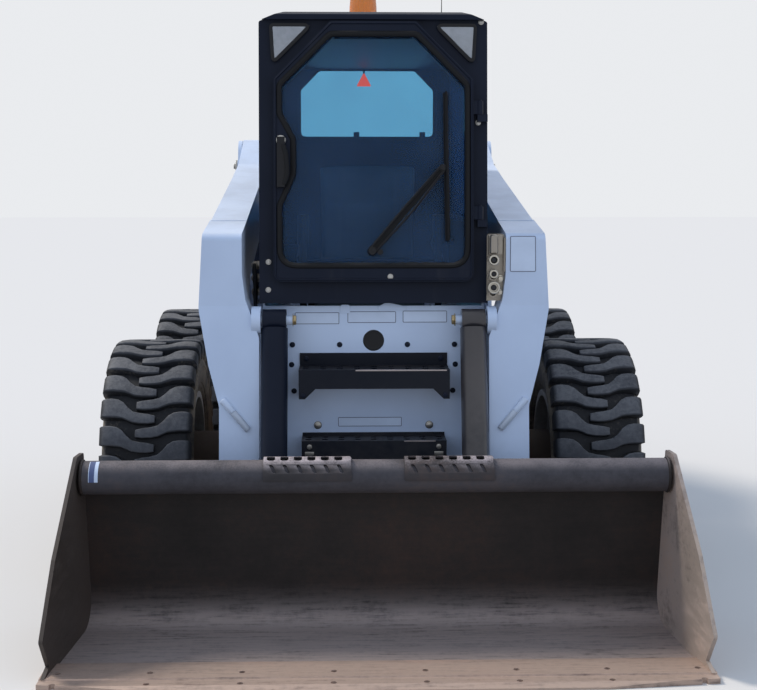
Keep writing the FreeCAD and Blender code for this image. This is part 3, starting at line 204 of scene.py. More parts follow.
class Graph:
    """The node tree of one material or of the world."""

    def __init__(self, name: str, tree: bpy.types.NodeTree | None = None) -> None:
        """Start an empty graph.

        Args:
            name: The material's name.
            tree: A tree to fill instead of a new material's.
        """
        self.material = None
        if tree is None:
            self.material = bpy.data.materials.new(name)
            self.material.use_nodes = True
            tree = self.material.node_tree
        self.tree = tree
        tree.nodes.clear()

    def node(self, kind: str, settings: dict | None = None, sockets: dict | None = None) -> Outputs:
        """Add a node.

        Args:
            kind: The node's type.
            settings: Its properties, set first; "stops" fills a ramp's colours.
            sockets: Values or links by input name or place.

        Returns:
            The node's outputs.
        """
        made = self.tree.nodes.new(kind)
        for key, value in (settings or {}).items():
            if key == "stops":
                self._fill_ramp(made.color_ramp, value)
            else:
                setattr(made, key, value)
        for key, value in (sockets or {}).items():
            entry = made.inputs[key]
            if isinstance(value, Socket):
                self.tree.links.new(value.output, entry)
            elif isinstance(value, tuple) and len(value) == 3 and entry.type == "RGBA":
                entry.default_value = (*value, 1.0)
            else:
                entry.default_value = value
        return Outputs(self, made)

    @staticmethod
    def _fill_ramp(ramp: bpy.types.ColorRamp, stops: Sequence[tuple[float, Colour]]) -> None:
        """Set a ramp's stops from (place, colour) pairs."""
        while len(ramp.elements) > 1:
            ramp.elements.remove(ramp.elements[-1])
        ramp.elements[0].position, ramp.elements[0].color = stops[0][0], (*stops[0][1], 1.0)
        for place, colour in stops[1:]:
            ramp.elements.new(place).color = (*colour, 1.0)

    def place(self) -> Socket:
        """Where a point is on its piece, in metres."""
        return self.node("ShaderNodeTexCoord")["Object"]

    def parts_of(self, vector: Socket) -> tuple[Socket, Socket, Socket]:
        """A vector's three numbers."""
        split = self.node("ShaderNodeSeparateXYZ", None, {0: vector})
        return split[0], split[1], split[2]

    def facing(self) -> Socket:
        """How far a surface faces up, from -1 to 1, before any bump."""
        return self.parts_of(self.node("ShaderNodeNewGeometry")["Normal"])[2]

    def seen(self) -> Socket:
        """1 for rays that come from the camera, a mirror or glass."""
        path = self.node("ShaderNodeLightPath")
        return path["Is Camera Ray"].most(path["Is Glossy Ray"]).most(path["Is Transmission Ray"])

    def noise(self, scale: float, detail: float = 4.0, rough: float = 0.55,
              stretch: Point = (1, 1, 1),
              shift: float = 0.0) -> Socket:
        """Fractal noise over the piece.

        Args:
            scale: Waves per metre.
            detail: Octaves.
            rough: How strong the finer octaves are.
            stretch: Factors on the three coordinates before the noise.
            shift: An offset that gives another pattern.

        Returns:
            Values around 0.5.
        """
        spot = self.node("ShaderNodeMapping", {"vector_type": "POINT"}, {
            "Vector": self.place(), "Scale": stretch,
            "Location": (shift, shift * 0.7, shift * 1.3)})["Vector"]
        return self.node("ShaderNodeTexNoise", {"noise_dimensions": "3D"}, {
            "Vector": spot, "Scale": scale, "Detail": detail, "Roughness": rough})["Fac"]

    def blend(self, share: Socket | float, first: Socket | Colour,
              second: Socket | Colour) -> Socket:
        """Mix two colours.

        Args:
            share: How much of the second colour shows.
            first: The colour at 0.
            second: The colour at 1.

        Returns:
            The mixed colour.
        """
        return self.node("ShaderNodeMix", {"data_type": "RGBA"}, {0: share, 6: first, 7: second})[2]

    def bump(self, height: Socket, strength: float, depth: float) -> Socket:
        """A bumped normal from a height of 0 to 1.

        Args:
            height: The relief.
            strength: How much of it counts.
            depth: What a height of 1 measures, in metres.

        Returns:
            The new normal.
        """
        return self.node("ShaderNodeBump", None,
                         {"Height": height, "Strength": strength, "Distance": depth})["Normal"]

    def surface(self, **inputs: Socket | float | Colour) -> bpy.types.Material:
        """Close the material with a Principled shader.

        Args:
            inputs: Socket names with underscores for spaces, and what goes in.

        Returns:
            The finished material.
        """
        shader = self.node("ShaderNodeBsdfPrincipled", None,
                           {k.replace("_", " "): v for k, v in inputs.items()})
        return self.finish(shader[0])

    def finish(self, shader: Socket) -> bpy.types.Material:
        """Link a shader to the material's output."""
        self.node("ShaderNodeOutputMaterial", None, {"Surface": shader})
        return self.material


# Finishes

@dataclass(frozen=True)
class PaintFinish:
    """Painted sheet metal with dust, grime and wear."""

    name: str
    colour: Colour
    shade: Colour
    dirt: Colour = (0.30, 0.23, 0.16)
    dirt_from: float = 0.05
    dirt_to: float = 0.75
    dirt_most: float = 0.55
    rough: float = 0.38
    chips: Colour = (0.10, 0.075, 0.06)
    chip_amount: float = 0.28
    coat: float = 0.25
    gloss: float = 0.5

    def material(self) -> bpy.types.Material:
        """Build the painted metal's material."""
        g = Graph(self.name)
        height = g.parts_of(g.place())[2]
        cloud, grain = g.noise(2.4, 5.0), g.noise(34.0, 5.0, 0.65, shift=3.1)
        streak = g.noise(9.0, 4.0, 0.6, (1.0, 1.0, 0.10), 7.7)
        low = 1.0 - height.spread(self.dirt_from, self.dirt_to)
        dust = (g.facing().spread(0.35, 0.95)
                * g.noise(6.0, 4.0, 0.6, shift=1.9).spread(0.35, 0.7) * 0.45)
        grime = (low * (cloud * 0.75 + grain * 0.45).spread(0.42, 0.78) * self.dirt_most
                 + dust * self.dirt_most)
        grime = (grime + streak.spread(0.60, 0.82) * 0.10).least(0.9)
        chipped = ((grain * 0.55 + g.noise(90.0, 3.0, 0.7, shift=5.5) * 0.45).spread(0.66, 0.69)
                   * cloud.spread(0.52, 0.62))
        chipped = chipped * self.chip_amount
        base = g.blend(cloud.spread(0.3, 0.75), self.colour, self.shade)
        base = g.blend(grime, base, self.dirt)
        base = g.blend(chipped, base, self.chips)
        rough = self.rough + grime * 0.45 + (g.noise(70.0, 2.0, shift=2.2) - 0.5) * 0.12
        peel = g.noise(420.0, 2.0, 0.5, shift=9.0) * 0.35 + grime * 0.5 - chipped
        return g.surface(Base_Color=base, Roughness=rough.most(0.08),
                         Coat_Weight=self.coat * (1.0 - grime).most(0.0),
                         Coat_Roughness=0.18, Specular_IOR_Level=self.gloss,
                         Normal=g.bump(peel, 0.25, 0.0006))


@dataclass(frozen=True)
class RustFinish:
    """Bare steel that soil has scoured and weather has rusted, with painted shade on the side
    towards -X where shaded_side is set, and pale soil and worn colours that some finishes use as
    painted light.
    """

    name: str
    dark: Colour = (0.020, 0.0165, 0.0145)
    brown: Colour = (0.058, 0.043, 0.035)
    orange: Colour = (0.120, 0.066, 0.043)
    worn: Colour = (0.33, 0.265, 0.215)
    soil: Colour = (0.24, 0.185, 0.14)
    soil_most: float = 0.5
    polish: float = 0.85
    polish_from: float = -1.30
    polish_to: float = -1.66
    polish_low: float = 0.05
    polish_high: float = 0.30
    scour_axis: Point = (0.45, 5.0, 5.0)
    # How much painted shade darkens the side towards -X, from 0 to 1.
    shaded_side: float = 0.0

    def material(self) -> bpy.types.Material:
        """Build the rusty steel's material."""
        g = Graph(self.name)
        x, y, z = g.parts_of(g.place())
        patch, grain = g.noise(2.6, 6.0, 0.62), g.noise(46.0, 6.0, 0.7, shift=2.0)
        fine, scour = (g.noise(190.0, 4.0, 0.7, shift=6.1),
                       g.noise(16.0, 6.0, 0.66, self.scour_axis, 4.4))
        ramp = g.node("ShaderNodeValToRGB", {"stops": (
            (0.34, self.dark), (0.50, self.brown), (0.66, self.orange), (0.82, self.brown))},
            {"Fac": patch * 0.58 + grain * 0.30 + scour * 0.12})["Color"]
        # Worn towards the front and low down; on the bucket shell this pale patch is partly
        # scouring and dust and partly painted sunlight.
        front = ((1.0 - y.spread(self.polish_to, self.polish_from))
                 * (1.0 - z.spread(self.polish_low, self.polish_high)))
        rubbed = (front * (scour * 0.8 + grain * 0.35 + patch * 0.1).spread(0.36, 0.70)
                  * self.polish).least(0.92)
        # Pale soil on faces that look up; on the top tube and its treads it is partly soil and
        # partly a painted highlight.
        lying = (g.facing().spread(0.4, 0.95)
                 * (g.noise(5.0, 5.0, 0.6, shift=8.0) * 0.7 + fine * 0.3).spread(0.36, 0.62))
        base = g.blend(lying * self.soil_most, ramp, self.soil)
        base = g.blend(rubbed, base, self.worn)
        base = g.blend(fine.spread(0.60, 0.72) * 0.35 * (1.0 - rubbed), base, self.orange)
        # Painted shade: towards -X the colour goes to the dark rust colour, by shaded_side.
        base = g.blend(x.spread(0.3, -0.3) * self.shaded_side, base, self.dark)
        rough = 0.74 - rubbed * 0.28 + (grain - 0.5) * 0.2
        relief = grain * 0.5 + patch * 0.9 + scour * 0.35 + fine * 0.15
        return g.surface(Base_Color=base, Roughness=rough, Metallic=rubbed * 0.45,
                         Specular_IOR_Level=0.35,
                         Normal=g.bump(relief, 0.5, 0.0022))


@dataclass(frozen=True)
class TyreFinish:
    """Worn rubber: greyed on the lugs, dark in the grooves, soiled on the side walls."""

    name: str
    axle_y: float
    radius: float = 0.42
    rubber: Colour = (0.016, 0.0165, 0.019)
    greyed: Colour = (0.080, 0.080, 0.086)
    soil: Colour = (0.235, 0.185, 0.128)
    dust: Colour = (0.270, 0.250, 0.225)

    def material(self) -> bpy.types.Material:
        """Build the tyre's material, which changes with the distance from its axle."""
        g = Graph(self.name)
        _, y, z = g.parts_of(g.place())
        reach = ((y - self.axle_y) ** 2.0 + (z - self.radius) ** 2.0) ** 0.5
        cloud, grain = g.noise(7.0, 5.0, 0.6), g.noise(75.0, 5.0, 0.7, shift=2.0)
        top = reach.spread(self.radius - 0.012, self.radius - 0.003)
        worn = (top * (0.45 + cloud.spread(0.3, 0.7) * 0.35 + grain * 0.25)
                + grain.spread(0.5, 0.75) * 0.12)
        side = 1.0 - reach.spread(self.radius - 0.085, self.radius - 0.035)
        soil = side * (cloud * 0.7 + grain * 0.4).spread(0.34, 0.66) * 0.8
        soil = (soil + (1.0 - top) * (cloud * 0.5 + grain * 0.5).spread(0.52, 0.70)
                * 0.30).least(0.85)
        base = g.blend(worn.least(1.0), self.rubber, self.greyed)
        base = g.blend(soil, base, self.soil)
        lying = g.facing().spread(-0.2, 0.9) * top * (cloud * 0.4 + grain * 0.6).spread(0.36, 0.62)
        base = g.blend(lying * 0.3, base, self.dust)
        relief = grain * 0.7 + cloud * 0.3
        return g.surface(Base_Color=base, Roughness=0.66 + soil * 0.25,
                         Normal=g.bump(relief, 0.4, 0.0012),
                         Specular_IOR_Level=0.25)


@dataclass(frozen=True)
class PlainFinish:
    """Plastic, rubber, chrome or brass with fine grain and a little dust, and a painted glow where
    glow is set.
    """

    name: str
    colour: Colour
    rough: float = 0.5
    metal: float = 0.0
    grain: float = 260.0
    relief: float = 0.0004
    dust: float = 0.25
    dust_colour: Colour = (0.33, 0.28, 0.22)
    coat: float = 0.0
    gloss: float = 0.5
    # Emission strength: a painted glow on a part that is no lamp.
    glow: float = 0.0

    def material(self) -> bpy.types.Material:
        """Build the material."""
        g = Graph(self.name)
        cloud, grain = g.noise(8.0, 4.0), g.noise(self.grain, 3.0, 0.6, shift=4.0)
        lying = g.facing().spread(0.3, 0.95) * cloud.spread(0.38, 0.68) * self.dust
        film = (lying + grain.spread(0.58, 0.8) * self.dust * 0.3).least(0.8)
        base = g.blend(film, g.blend(cloud.spread(0.25, 0.8) * 0.35, self.colour,
                                     tuple(c * 0.6 for c in self.colour)),
                       self.dust_colour)
        return g.surface(Base_Color=base, Metallic=self.metal * (1.0 - film), Coat_Weight=self.coat,
                         Specular_IOR_Level=self.gloss, Emission_Color=base,
                         Emission_Strength=self.glow,
                         Roughness=(self.rough + film * 0.35 + (grain - 0.5) * 0.1).most(0.03),
                         Normal=g.bump(grain, 0.3, self.relief))


@dataclass(frozen=True)
class GlassFinish:
    """A pane: clear through its middle, with a haze of dust and a mirror at low angles."""

    name: str
    tint: Colour = (0.80, 0.89, 0.95)
    haze: float = 0.16
    haze_colour: Colour = (0.090, 0.200, 0.380)

    def material(self) -> bpy.types.Material:
        """Build the pane's material."""
        g = Graph(self.name)
        cloud = g.noise(5.0, 5.0, 0.6)
        mirror = g.node("ShaderNodeFresnel", None, {"IOR": 1.36})["Fac"]
        clear = g.node("ShaderNodeBsdfTransparent", None, {"Color": self.tint})[0]
        skin = g.node("ShaderNodeBsdfPrincipled", None, {
            "Base Color": self.haze_colour, "Roughness": 0.05, "Specular IOR Level": 0.5})[0]
        share = (mirror * 0.85 + self.haze * (0.55 + cloud.spread(0.25, 0.8) * 0.45)).least(1.0)
        return g.finish(g.node("ShaderNodeMixShader", None, {0: share, 1: clear, 2: skin})[0])


@dataclass(frozen=True)
class LensFinish:
    """Coloured or clear plastic that light passes through."""

    name: str
    colour: Colour
    rough: float = 0.12
    passes: float = 0.55

    def material(self) -> bpy.types.Material:
        """Build the lens's material."""
        g = Graph(self.name)
        cloud = g.noise(60.0, 3.0)
        base = g.blend(cloud.spread(0.3, 0.8) * 0.3, self.colour,
                       tuple(c * 0.55 for c in self.colour))
        return g.surface(Base_Color=base, Roughness=self.rough, Transmission_Weight=self.passes,
                         IOR=1.49,
                         Coat_Weight=0.5, Coat_Roughness=0.05)


@dataclass(frozen=True)
class SeatFinish:
    """Grained vinyl with a dull sheen."""

    name: str
    colour: Colour = (0.085, 0.092, 0.105)

    def material(self) -> bpy.types.Material:
        """Build the seat cover's material."""
        g = Graph(self.name)
        cell = g.node("ShaderNodeTexVoronoi", {"feature": "DISTANCE_TO_EDGE"},
                      {"Vector": g.place(), "Scale": 900.0})["Distance"]
        cloud = g.noise(9.0, 4.0)
        base = g.blend(cloud.spread(0.3, 0.75), self.colour, (0.12, 0.122, 0.125))
        return g.surface(Base_Color=base, Roughness=0.5 + cloud * 0.15,
                         Normal=g.bump(cell, 0.25, 0.0003))


@dataclass(frozen=True)
class LampMirror:
    """A silvered reflector behind a fluted lens."""

    name: str
    colour: Colour = (0.52, 0.52, 0.52)
    flutes: float = 420.0

    def material(self) -> bpy.types.Material:
        """Build the reflector's material, with upright flutes."""
        g = Graph(self.name)
        flute = (g.parts_of(g.place())[0] * self.flutes).sine() * 0.5 + 0.5
        cloud = g.noise(14.0, 3.0)
        base = g.blend(cloud.spread(0.35, 0.7), self.colour, (0.30, 0.29, 0.28))
        return g.surface(Base_Color=base, Metallic=0.35, Roughness=0.34,
                         Normal=g.bump(flute, 0.6, 0.0015))


Finish = (PaintFinish | RustFinish | TyreFinish | PlainFinish | GlassFinish | LensFinish
          | SeatFinish | LampMirror)


# Meshes

class Shape:
    """Points and faces gathered for one piece."""

    def __init__(self) -> None:
        """Start with nothing."""
        self.points: list[Point] = []
        self.faces: list[tuple[int, ...]] = []

    def add(self, points: Iterable[Sequence[float]], faces: Iterable[Sequence[int]]) -> Shape:
        """Add a part with its own face indices.

        Args:
            points: The part's points.
            faces: Its faces, counted from its own first point.

        Returns:
            This shape, so that calls can be chained.
        """
        base = len(self.points)
        self.points += [tuple(float(v) for v in p) for p in points]
        self.faces += [tuple(base + i for i in f) for f in faces]
        return self

    def skin(self, rows: Sequence[Sequence[Sequence[float]]], round_rows: bool = False,
             ends: bool = True) -> Shape:
        """Add a loft through closed sections.

        Args:
            rows: Sections with the same number of points each.
            round_rows: Join the last section to the first.
            ends: Close the two ends with flat faces.

        Returns:
            This shape.
        """
        count, wide = len(rows), len(rows[0])
        faces = [(r * wide + c, r * wide + (c + 1) % wide,
                  ((r + 1) % count) * wide + (c + 1) % wide,
                  ((r + 1) % count) * wide + c) for r in range(count if round_rows else count - 1)
                 for c in range(wide)]
        if ends and not round_rows:
            faces += [tuple(reversed(range(wide))),
                      tuple((count - 1) * wide + c for c in range(wide))]
        return self.add([p for row in rows for p in row], faces)

    def lathe(self, axis: Axis, centre: Point, profile: Sequence[Spot2], sides: int = 40) -> Shape:
        """Add a ring or disc turned about an axis.

        Args:
            axis: The direction of the axis.
            centre: A point on it, from which the profile counts.
            profile: A closed outline of (along, radius) points.
            sides: How many steps make the turn.

        Returns:
            This shape.
        """
        return self.skin([[on_axis(axis, centre, along, radius, angle) for along, radius in profile]
                          for angle in turns(sides)], round_rows=True)

    def moulding(self, loops: Sequence[Sequence[Sequence[float]]]) -> Shape:
        """Add a closed moulding between loops that run beside each other."""
        return self.skin([list(column) for column in zip(*loops)], round_rows=True)

    def rod(self, start: Sequence[float], end: Sequence[float], radius: float, sides: int = 20,
            end_radius: float | None = None) -> Shape:
        """Add a straight round bar or cone between two points.

        Args:
            start: The centre of one end.
            end: The centre of the other.
            radius: The radius at the start.
            sides: How many sides it has.
            end_radius: The radius at the end, if it differs.

        Returns:
            This shape.
        """
        last = radius if end_radius is None else end_radius
        way = (Vector(end) - Vector(start)).normalized()
        return self.skin([circle(start, way, radius, sides), circle(end, way, last, sides)])

    def block(self, low: Sequence[float], high: Sequence[float]) -> Shape:
        """Add an upright box between two corners."""
        (a, b, c), (d, e, f) = low, high
        return self.skin([[(a, b, z), (d, b, z), (d, e, z), (a, e, z)] for z in (c, f)])

    def prism(self, axis: Axis, low: float, high: float, outline: Sequence[Spot2]) -> Shape:
        """Add an outline pushed along an axis.

        Args:
            axis: The direction of the push.
            low: Where it starts.
            high: Where it ends.
            outline: Its corners in the other two coordinates, in X, Y, Z order.

        Returns:
            This shape.
        """
        rows = []
        for level in (low, high):
            row = []
            for first, second in outline:
                spot = [first, second]
                spot.insert(axis.value, level)
                row.append(tuple(spot))
            rows.append(row)
        return self.skin(rows)

    def nut(self, centre: Sequence[float], way: Sequence[float], across: float,
            deep: float) -> Shape:
        """Add a hexagon head with a washer under it and a domed end.

        Args:
            centre: Where the washer meets its seat.
            way: The direction in which the head stands out.
            across: The width over the flats.
            deep: The head's height.

        Returns:
            This shape.
        """
        base, out = Vector(centre), Vector(way).normalized()
        radius = across / math.sqrt(3)
        rings = [(0.0, across * 0.72, 24), (deep * 0.18, across * 0.72, 24)]
        self.skin([circle(base + out * up, out, size, sides) for up, size, sides in rings])
        head = [(deep * 0.18, radius), (deep * 0.9, radius), (deep, radius * 0.86)]
        return self.skin([circle(base + out * up, out, size, 6) for up, size in head])

    def hose(self, route: Sequence[Sequence[float]], radius: float, sides: int = 12,
             steps: int = 8) -> Shape:
        """Add a round tube on a smooth curve through points.

        Args:
            route: The points that the curve passes.
            radius: The tube's radius.
            sides: How many sides it has.
            steps: Sections in each stretch between two points.

        Returns:
            This shape.
        """
        line = smooth_route([Vector(p) for p in route], steps)
        rows, frame = [], None
        for i, spot in enumerate(line):
            way = (line[min(i + 1, len(line) - 1)] - line[max(i - 1, 0)]).normalized()
            frame = way.orthogonal() if frame is None else frame - way * frame.dot(way)
            frame.normalize()
            other = way.cross(frame)
            rows.append([spot + radius * (math.cos(a) * frame + math.sin(a) * other)
                         for a in turns(sides)])
        return self.skin(rows)

    def piece(self, name: str, bevel: float = 0.0, steps: int = 2,
              limit: float = EDGE_LIMIT) -> bpy.types.Object:
        """Make the object.

        Args:
            name: The piece's name.
            bevel: The width of its rounded edges, in metres.
            steps: Segments in each rounded edge.
            limit: Edges sharper than this many degrees are rounded and shaded sharp.

        Returns:
            The linked object.
        """
        mesh = bpy.data.meshes.new(name)
        mesh.from_pydata(self.points, [], self.faces)
        mesh.validate()
        work = bmesh.new()
        work.from_mesh(mesh)
        bmesh.ops.recalc_face_normals(work, faces=work.faces)
        work.to_mesh(mesh)
        work.free()
        thing = bpy.data.objects.new(name, mesh)
        bpy.context.scene.collection.objects.link(thing)
        for face in mesh.polygons:
            face.use_smooth = True
        if bevel:
            round_edges(thing, bevel, steps, limit)
        else:
            mesh.set_sharp_from_angle(angle=math.radians(limit))
        return thing

    def carved(self, name: str, cutter: Shape, bevel: float = 0.0) -> bpy.types.Object:
        """Make the object with another shape cut out of it.

        Args:
            name: The piece's name.
            cutter: The shape that is cut out.
            bevel: The width of its rounded edges, in metres.

        Returns:
            The linked object.
        """
        thing, tool = self.piece(name), cutter.piece(name + "_cutter")
        cut = thing.modifiers.new("Cut", "BOOLEAN")
        cut.operation, cut.solver, cut.object = "DIFFERENCE", "EXACT", tool
        if bevel:
            round_edges(thing, bevel, 2, EDGE_LIMIT)
        carved = bpy.data.meshes.new_from_object(
            thing.evaluated_get(bpy.context.evaluated_depsgraph_get()))
        thing.modifiers.clear()
        thing.data = carved
        bpy.data.objects.remove(tool)
        carved.set_sharp_from_angle(angle=math.radians(EDGE_LIMIT))
        return thing


def turns(sides: int) -> list[float]:
    """The angles of a full turn in equal steps, in radians."""
    return [2 * math.pi * k / sides for k in range(sides)]


def round_edges(thing: bpy.types.Object, width: float, steps: int, limit: float) -> None:
    """Give a piece rounded edges.

    Args:
        thing: The piece.
        width: Their width, in metres.
        steps: Segments in each.
        limit: Edges sharper than this many degrees are rounded.
    """
    edge = thing.modifiers.new("Edges", "BEVEL")
    edge.width, edge.segments, edge.limit_method = width, steps, "ANGLE"
    edge.angle_limit = math.radians(limit)


def on_axis(axis: Axis, centre: Point, along: float, radius: float, angle: float) -> Point:
    """A point at a distance along and out from an axis.

    Args:
        axis: The axis.
        centre: A point on it.
        along: Distance along it.
        radius: Distance out from it.
        angle: Turn about it, in radians.

    Returns:
        The point.
    """
    across, up = radius * math.cos(angle), radius * math.sin(angle)
    turned = {Axis.X: (along, across, up), Axis.Y: (up, along, across),
              Axis.Z: (across, up, along)}[axis]
    return tuple(c + t for c, t in zip(centre, turned))


def circle(centre: Sequence[float], way: Sequence[float], radius: float,
           sides: int) -> list[Vector]:
    """Points of a circle about a direction.

    Args:
        centre: Its middle.
        way: Its normal.
        radius: Its radius.
        sides: How many points it has.

    Returns:
        The points.
    """
    normal = Vector(way).normalized()
    first = Vector((0, 0, 1)).cross(normal)
    first = Vector((1, 0, 0)) if first.length < LEAST_LENGTH else first.normalized()
    second = normal.cross(first)
    return [Vector(centre) + radius * (math.cos(a) * first + math.sin(a) * second)
            for a in turns(sides)]


def smooth_route(points: list[Vector], steps: int) -> list[Vector]:
    """Points on a smooth curve that passes through others.

    Args:
        points: What the curve passes.
        steps: Points in each stretch.

    Returns:
        The finer points.
    """
    padded = [points[0] * 2 - points[1], *points, points[-1] * 2 - points[-2]]
    line = []
    for a, b, c, d in zip(padded, padded[1:], padded[2:], padded[3:]):
        for k in range(steps):
            t = k / steps
            line.append(0.5 * ((2 * b) + (c - a) * t + (2 * a - 5 * b + 4 * c - d) * t * t
                               + (3 * b - a - 3 * c + d) * t ** 3))
    return line + [points[-1]]


def rounded(corners: Sequence[Spot2], radii: float | Sequence[float], steps: int = 6
            ) -> list[Spot2]:
    """An outline with its corners turned on arcs.

    Args:
        corners: The sharp corners in order.
        radii: One radius for all, or one for each.
        steps: Points in each arc, less one.

    Returns:
        The rounded outline.
    """
    count, line = len(corners), []
    bends = [radii] * count if isinstance(radii, (int, float)) else list(radii)
    for i, corner in enumerate(corners):
        here = Vector(corner)
        back = Vector(corners[i - 1]) - here
        ahead = Vector(corners[(i + 1) % count]) - here
        if bends[i] <= 0:
            line.append(tuple(here))
            continue
        half = back.angle(ahead) / 2
        reach = min(bends[i] / math.tan(half), back.length * CORNER_REACH,
                    ahead.length * CORNER_REACH)
        start, end = here + back.normalized() * reach, here + ahead.normalized() * reach
        for k in range(steps + 1):
            t = k / steps
            line.append(tuple((1 - t) ** 2 * start + 2 * t * (1 - t) * here + t * t * end))
    return line


def rounded_box(low_a: float, low_b: float, high_a: float, high_b: float, radius: float,
                steps: int) -> list[Spot2]:
    """A rectangle with its corners turned on arcs.

    Args:
        low_a: Its lower limit along the first coordinate.
        low_b: Its lower limit along the second.
        high_a: Its upper limit along the first.
        high_b: Its upper limit along the second.
        radius: The corners' radius.
        steps: Points in each arc, less one.

    Returns:
        The outline.
    """
    return rounded([(low_a, low_b), (high_a, low_b), (high_a, high_b), (low_a, high_b)], radius,
                   steps)


def grown(outline: Sequence[Spot2], by: float) -> list[Spot2]:
    """An outline pushed outward along its own normals.

    Args:
        outline: A closed outline, counter-clockwise.
        by: How far it grows, or shrinks when negative.

    Returns:
        The new outline.
    """
    moved, count = [], len(outline)
    for i in range(count):
        before, after = Vector(outline[i - 1]), Vector(outline[(i + 1) % count])
        way = (after - before).normalized()
        moved.append((outline[i][0] + way.y * by, outline[i][1] - way.x * by))
    return moved


@dataclass
class Workshop:
    """Where pieces get their finish and their body."""

    frame: dict
    finishes: dict[str, bpy.types.Material] = field(default_factory=dict)
    count: int = 0

    def finish(self, finish: Finish) -> bpy.types.Material:
        """A finish's material, built once.

        Args:
            finish: The finish.

        Returns:
            The material.
        """
        if finish.name not in self.finishes:
            self.finishes[finish.name] = finish.material()
        return self.finishes[finish.name]

    def dress(self, thing: bpy.types.Object, finish: Finish, body: str, slot: str | None = None
              ) -> bpy.types.Object:
        """Give a piece its finish and the body that carries it.

        Args:
            thing: The piece.
            finish: Its finish.
            body: The body that it rides on.
            slot: Not used.

        Returns:
            The piece.
        """
        thing.data.materials.clear()
        thing.data.materials.append(self.finish(finish))
        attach(thing, body)
        self.count += 1
        LOG.info("%s rides on %s", thing.name, body)
        return thing

    def repaint(self, node: str, finish: Finish) -> None:
        """Give a part of the construction its finish.

        Args:
            node: The part's name.
            finish: Its finish.
        """
        part = self.frame["nodes"][node]
        if not part.material_slots:
            part.data.materials.append(None)
        for place in part.material_slots:
            place.material = self.finish(finish)


# The machine's finishes

WHITE = PaintFinish("white_paint", (0.615, 0.685, 0.800), (0.535, 0.600, 0.715),
                    dirt=(0.27, 0.24, 0.21), dirt_most=0.42,
                    coat=0.15, gloss=0.4)
WHITE_RIM = PaintFinish("rim_paint", (0.52, 0.51, 0.49), (0.38, 0.36, 0.33),
                        dirt=(0.20, 0.155, 0.11), dirt_from=0.0,
                        dirt_to=1.6, dirt_most=0.9, gloss=0.3)
BLACK = PaintFinish("black_paint", (0.0070, 0.0105, 0.0215), (0.011, 0.015, 0.028),
                    dirt=(0.17, 0.15, 0.13), dirt_to=0.55,
                    dirt_most=0.25, rough=0.44, chips=(0.16, 0.16, 0.17), chip_amount=0.14,
                    coat=0.0, gloss=0.13)
BLACK_WORN = PaintFinish("black_worn", (0.0055, 0.0080, 0.0150), (0.010, 0.012, 0.018),
                         dirt=(0.16, 0.135, 0.11),
                         dirt_from=0.1, dirt_to=0.9, dirt_most=0.30, rough=0.42,
                         chips=(0.30, 0.29, 0.28),
                         chip_amount=0.5, coat=0.0, gloss=0.14)
SOILED = PaintFinish("soiled_steel", (0.130, 0.080, 0.066), (0.085, 0.055, 0.045),
                     dirt=(0.15, 0.112, 0.078),
                     dirt_from=0.1, dirt_to=1.5, dirt_most=0.8, rough=0.6, coat=0.0, gloss=0.25)
# Bucket shell: the pale worn colour over the front of the floor is partly dust and scouring and
# partly painted sunlight.
RUST = RustFinish("rusty_steel", dark=(0.0075, 0.0062, 0.0060), brown=(0.020, 0.0150, 0.0130),
                  orange=(0.044, 0.025, 0.018), worn=(0.470, 0.375, 0.330),
                  soil=(0.200, 0.160, 0.142), soil_most=0.7,
                  polish=0.95, polish_from=-1.14, polish_to=-1.22, polish_low=0.055,
                  polish_high=0.15)
# Bucket sides: the pale brown and orange are partly scoured steel and partly painted sunlight, and
# shaded_side paints shade on the side towards -X.
RUST_SIDE = RustFinish("rusty_side", dark=(0.026, 0.021, 0.019), brown=(0.450, 0.345, 0.285),
                       orange=(0.500, 0.340, 0.250),
                       worn=(0.42, 0.34, 0.28), polish=0.9, polish_from=-1.10, polish_to=-1.55,
                       polish_low=0.35,
                       polish_high=0.75, scour_axis=(5.0, 0.5, 2.5), shaded_side=0.9)
RUST_EDGE = RustFinish("rusty_edge", dark=(0.120, 0.078, 0.060), brown=(0.215, 0.140, 0.105),
                       orange=(0.33, 0.170, 0.110),
                       worn=(0.50, 0.365, 0.285), soil_most=0.3, polish=0.9, polish_from=-1.50,
                       polish_to=-1.60)
# Top tube: the pale soil on its upward faces is partly soil and partly a painted highlight along
# its top.
RUST_TUBE = RustFinish("rusty_tube", dark=(0.028, 0.026, 0.029), brown=(0.062, 0.056, 0.060),
                       orange=(0.100, 0.076, 0.068),
                       soil=(0.26, 0.210, 0.195), soil_most=0.70, polish=0.0,
                       scour_axis=(0.4, 5.0, 5.0))
FRONT_TYRE = TyreFinish("front_tyre", -0.455)
REAR_TYRE = TyreFinish("rear_tyre", 0.778)
CHROME = PlainFinish("chromed_steel", (0.42, 0.43, 0.45), 0.14, 1.0, 60.0, 0.0001, 0.15)
ZINC = PlainFinish("zinc_steel", (0.40, 0.40, 0.39), 0.38, 0.9, 200.0, 0.0002, 0.30)
BRASS = PlainFinish("yellow_zinc", (0.42, 0.34, 0.19), 0.40, 0.85, 200.0, 0.0002, 0.25)
# Tube treads: their very pale soil on upward faces is partly soil and partly a painted highlight
# along the tube's top.
RUST_TREAD = RustFinish("rusty_tread", dark=(0.022, 0.020, 0.021), brown=(0.040, 0.034, 0.034),
                        orange=(0.075, 0.050, 0.042),
                        soil=(0.60, 0.49, 0.46), soil_most=0.95, polish=0.0,
                        scour_axis=(0.4, 5.0, 5.0))
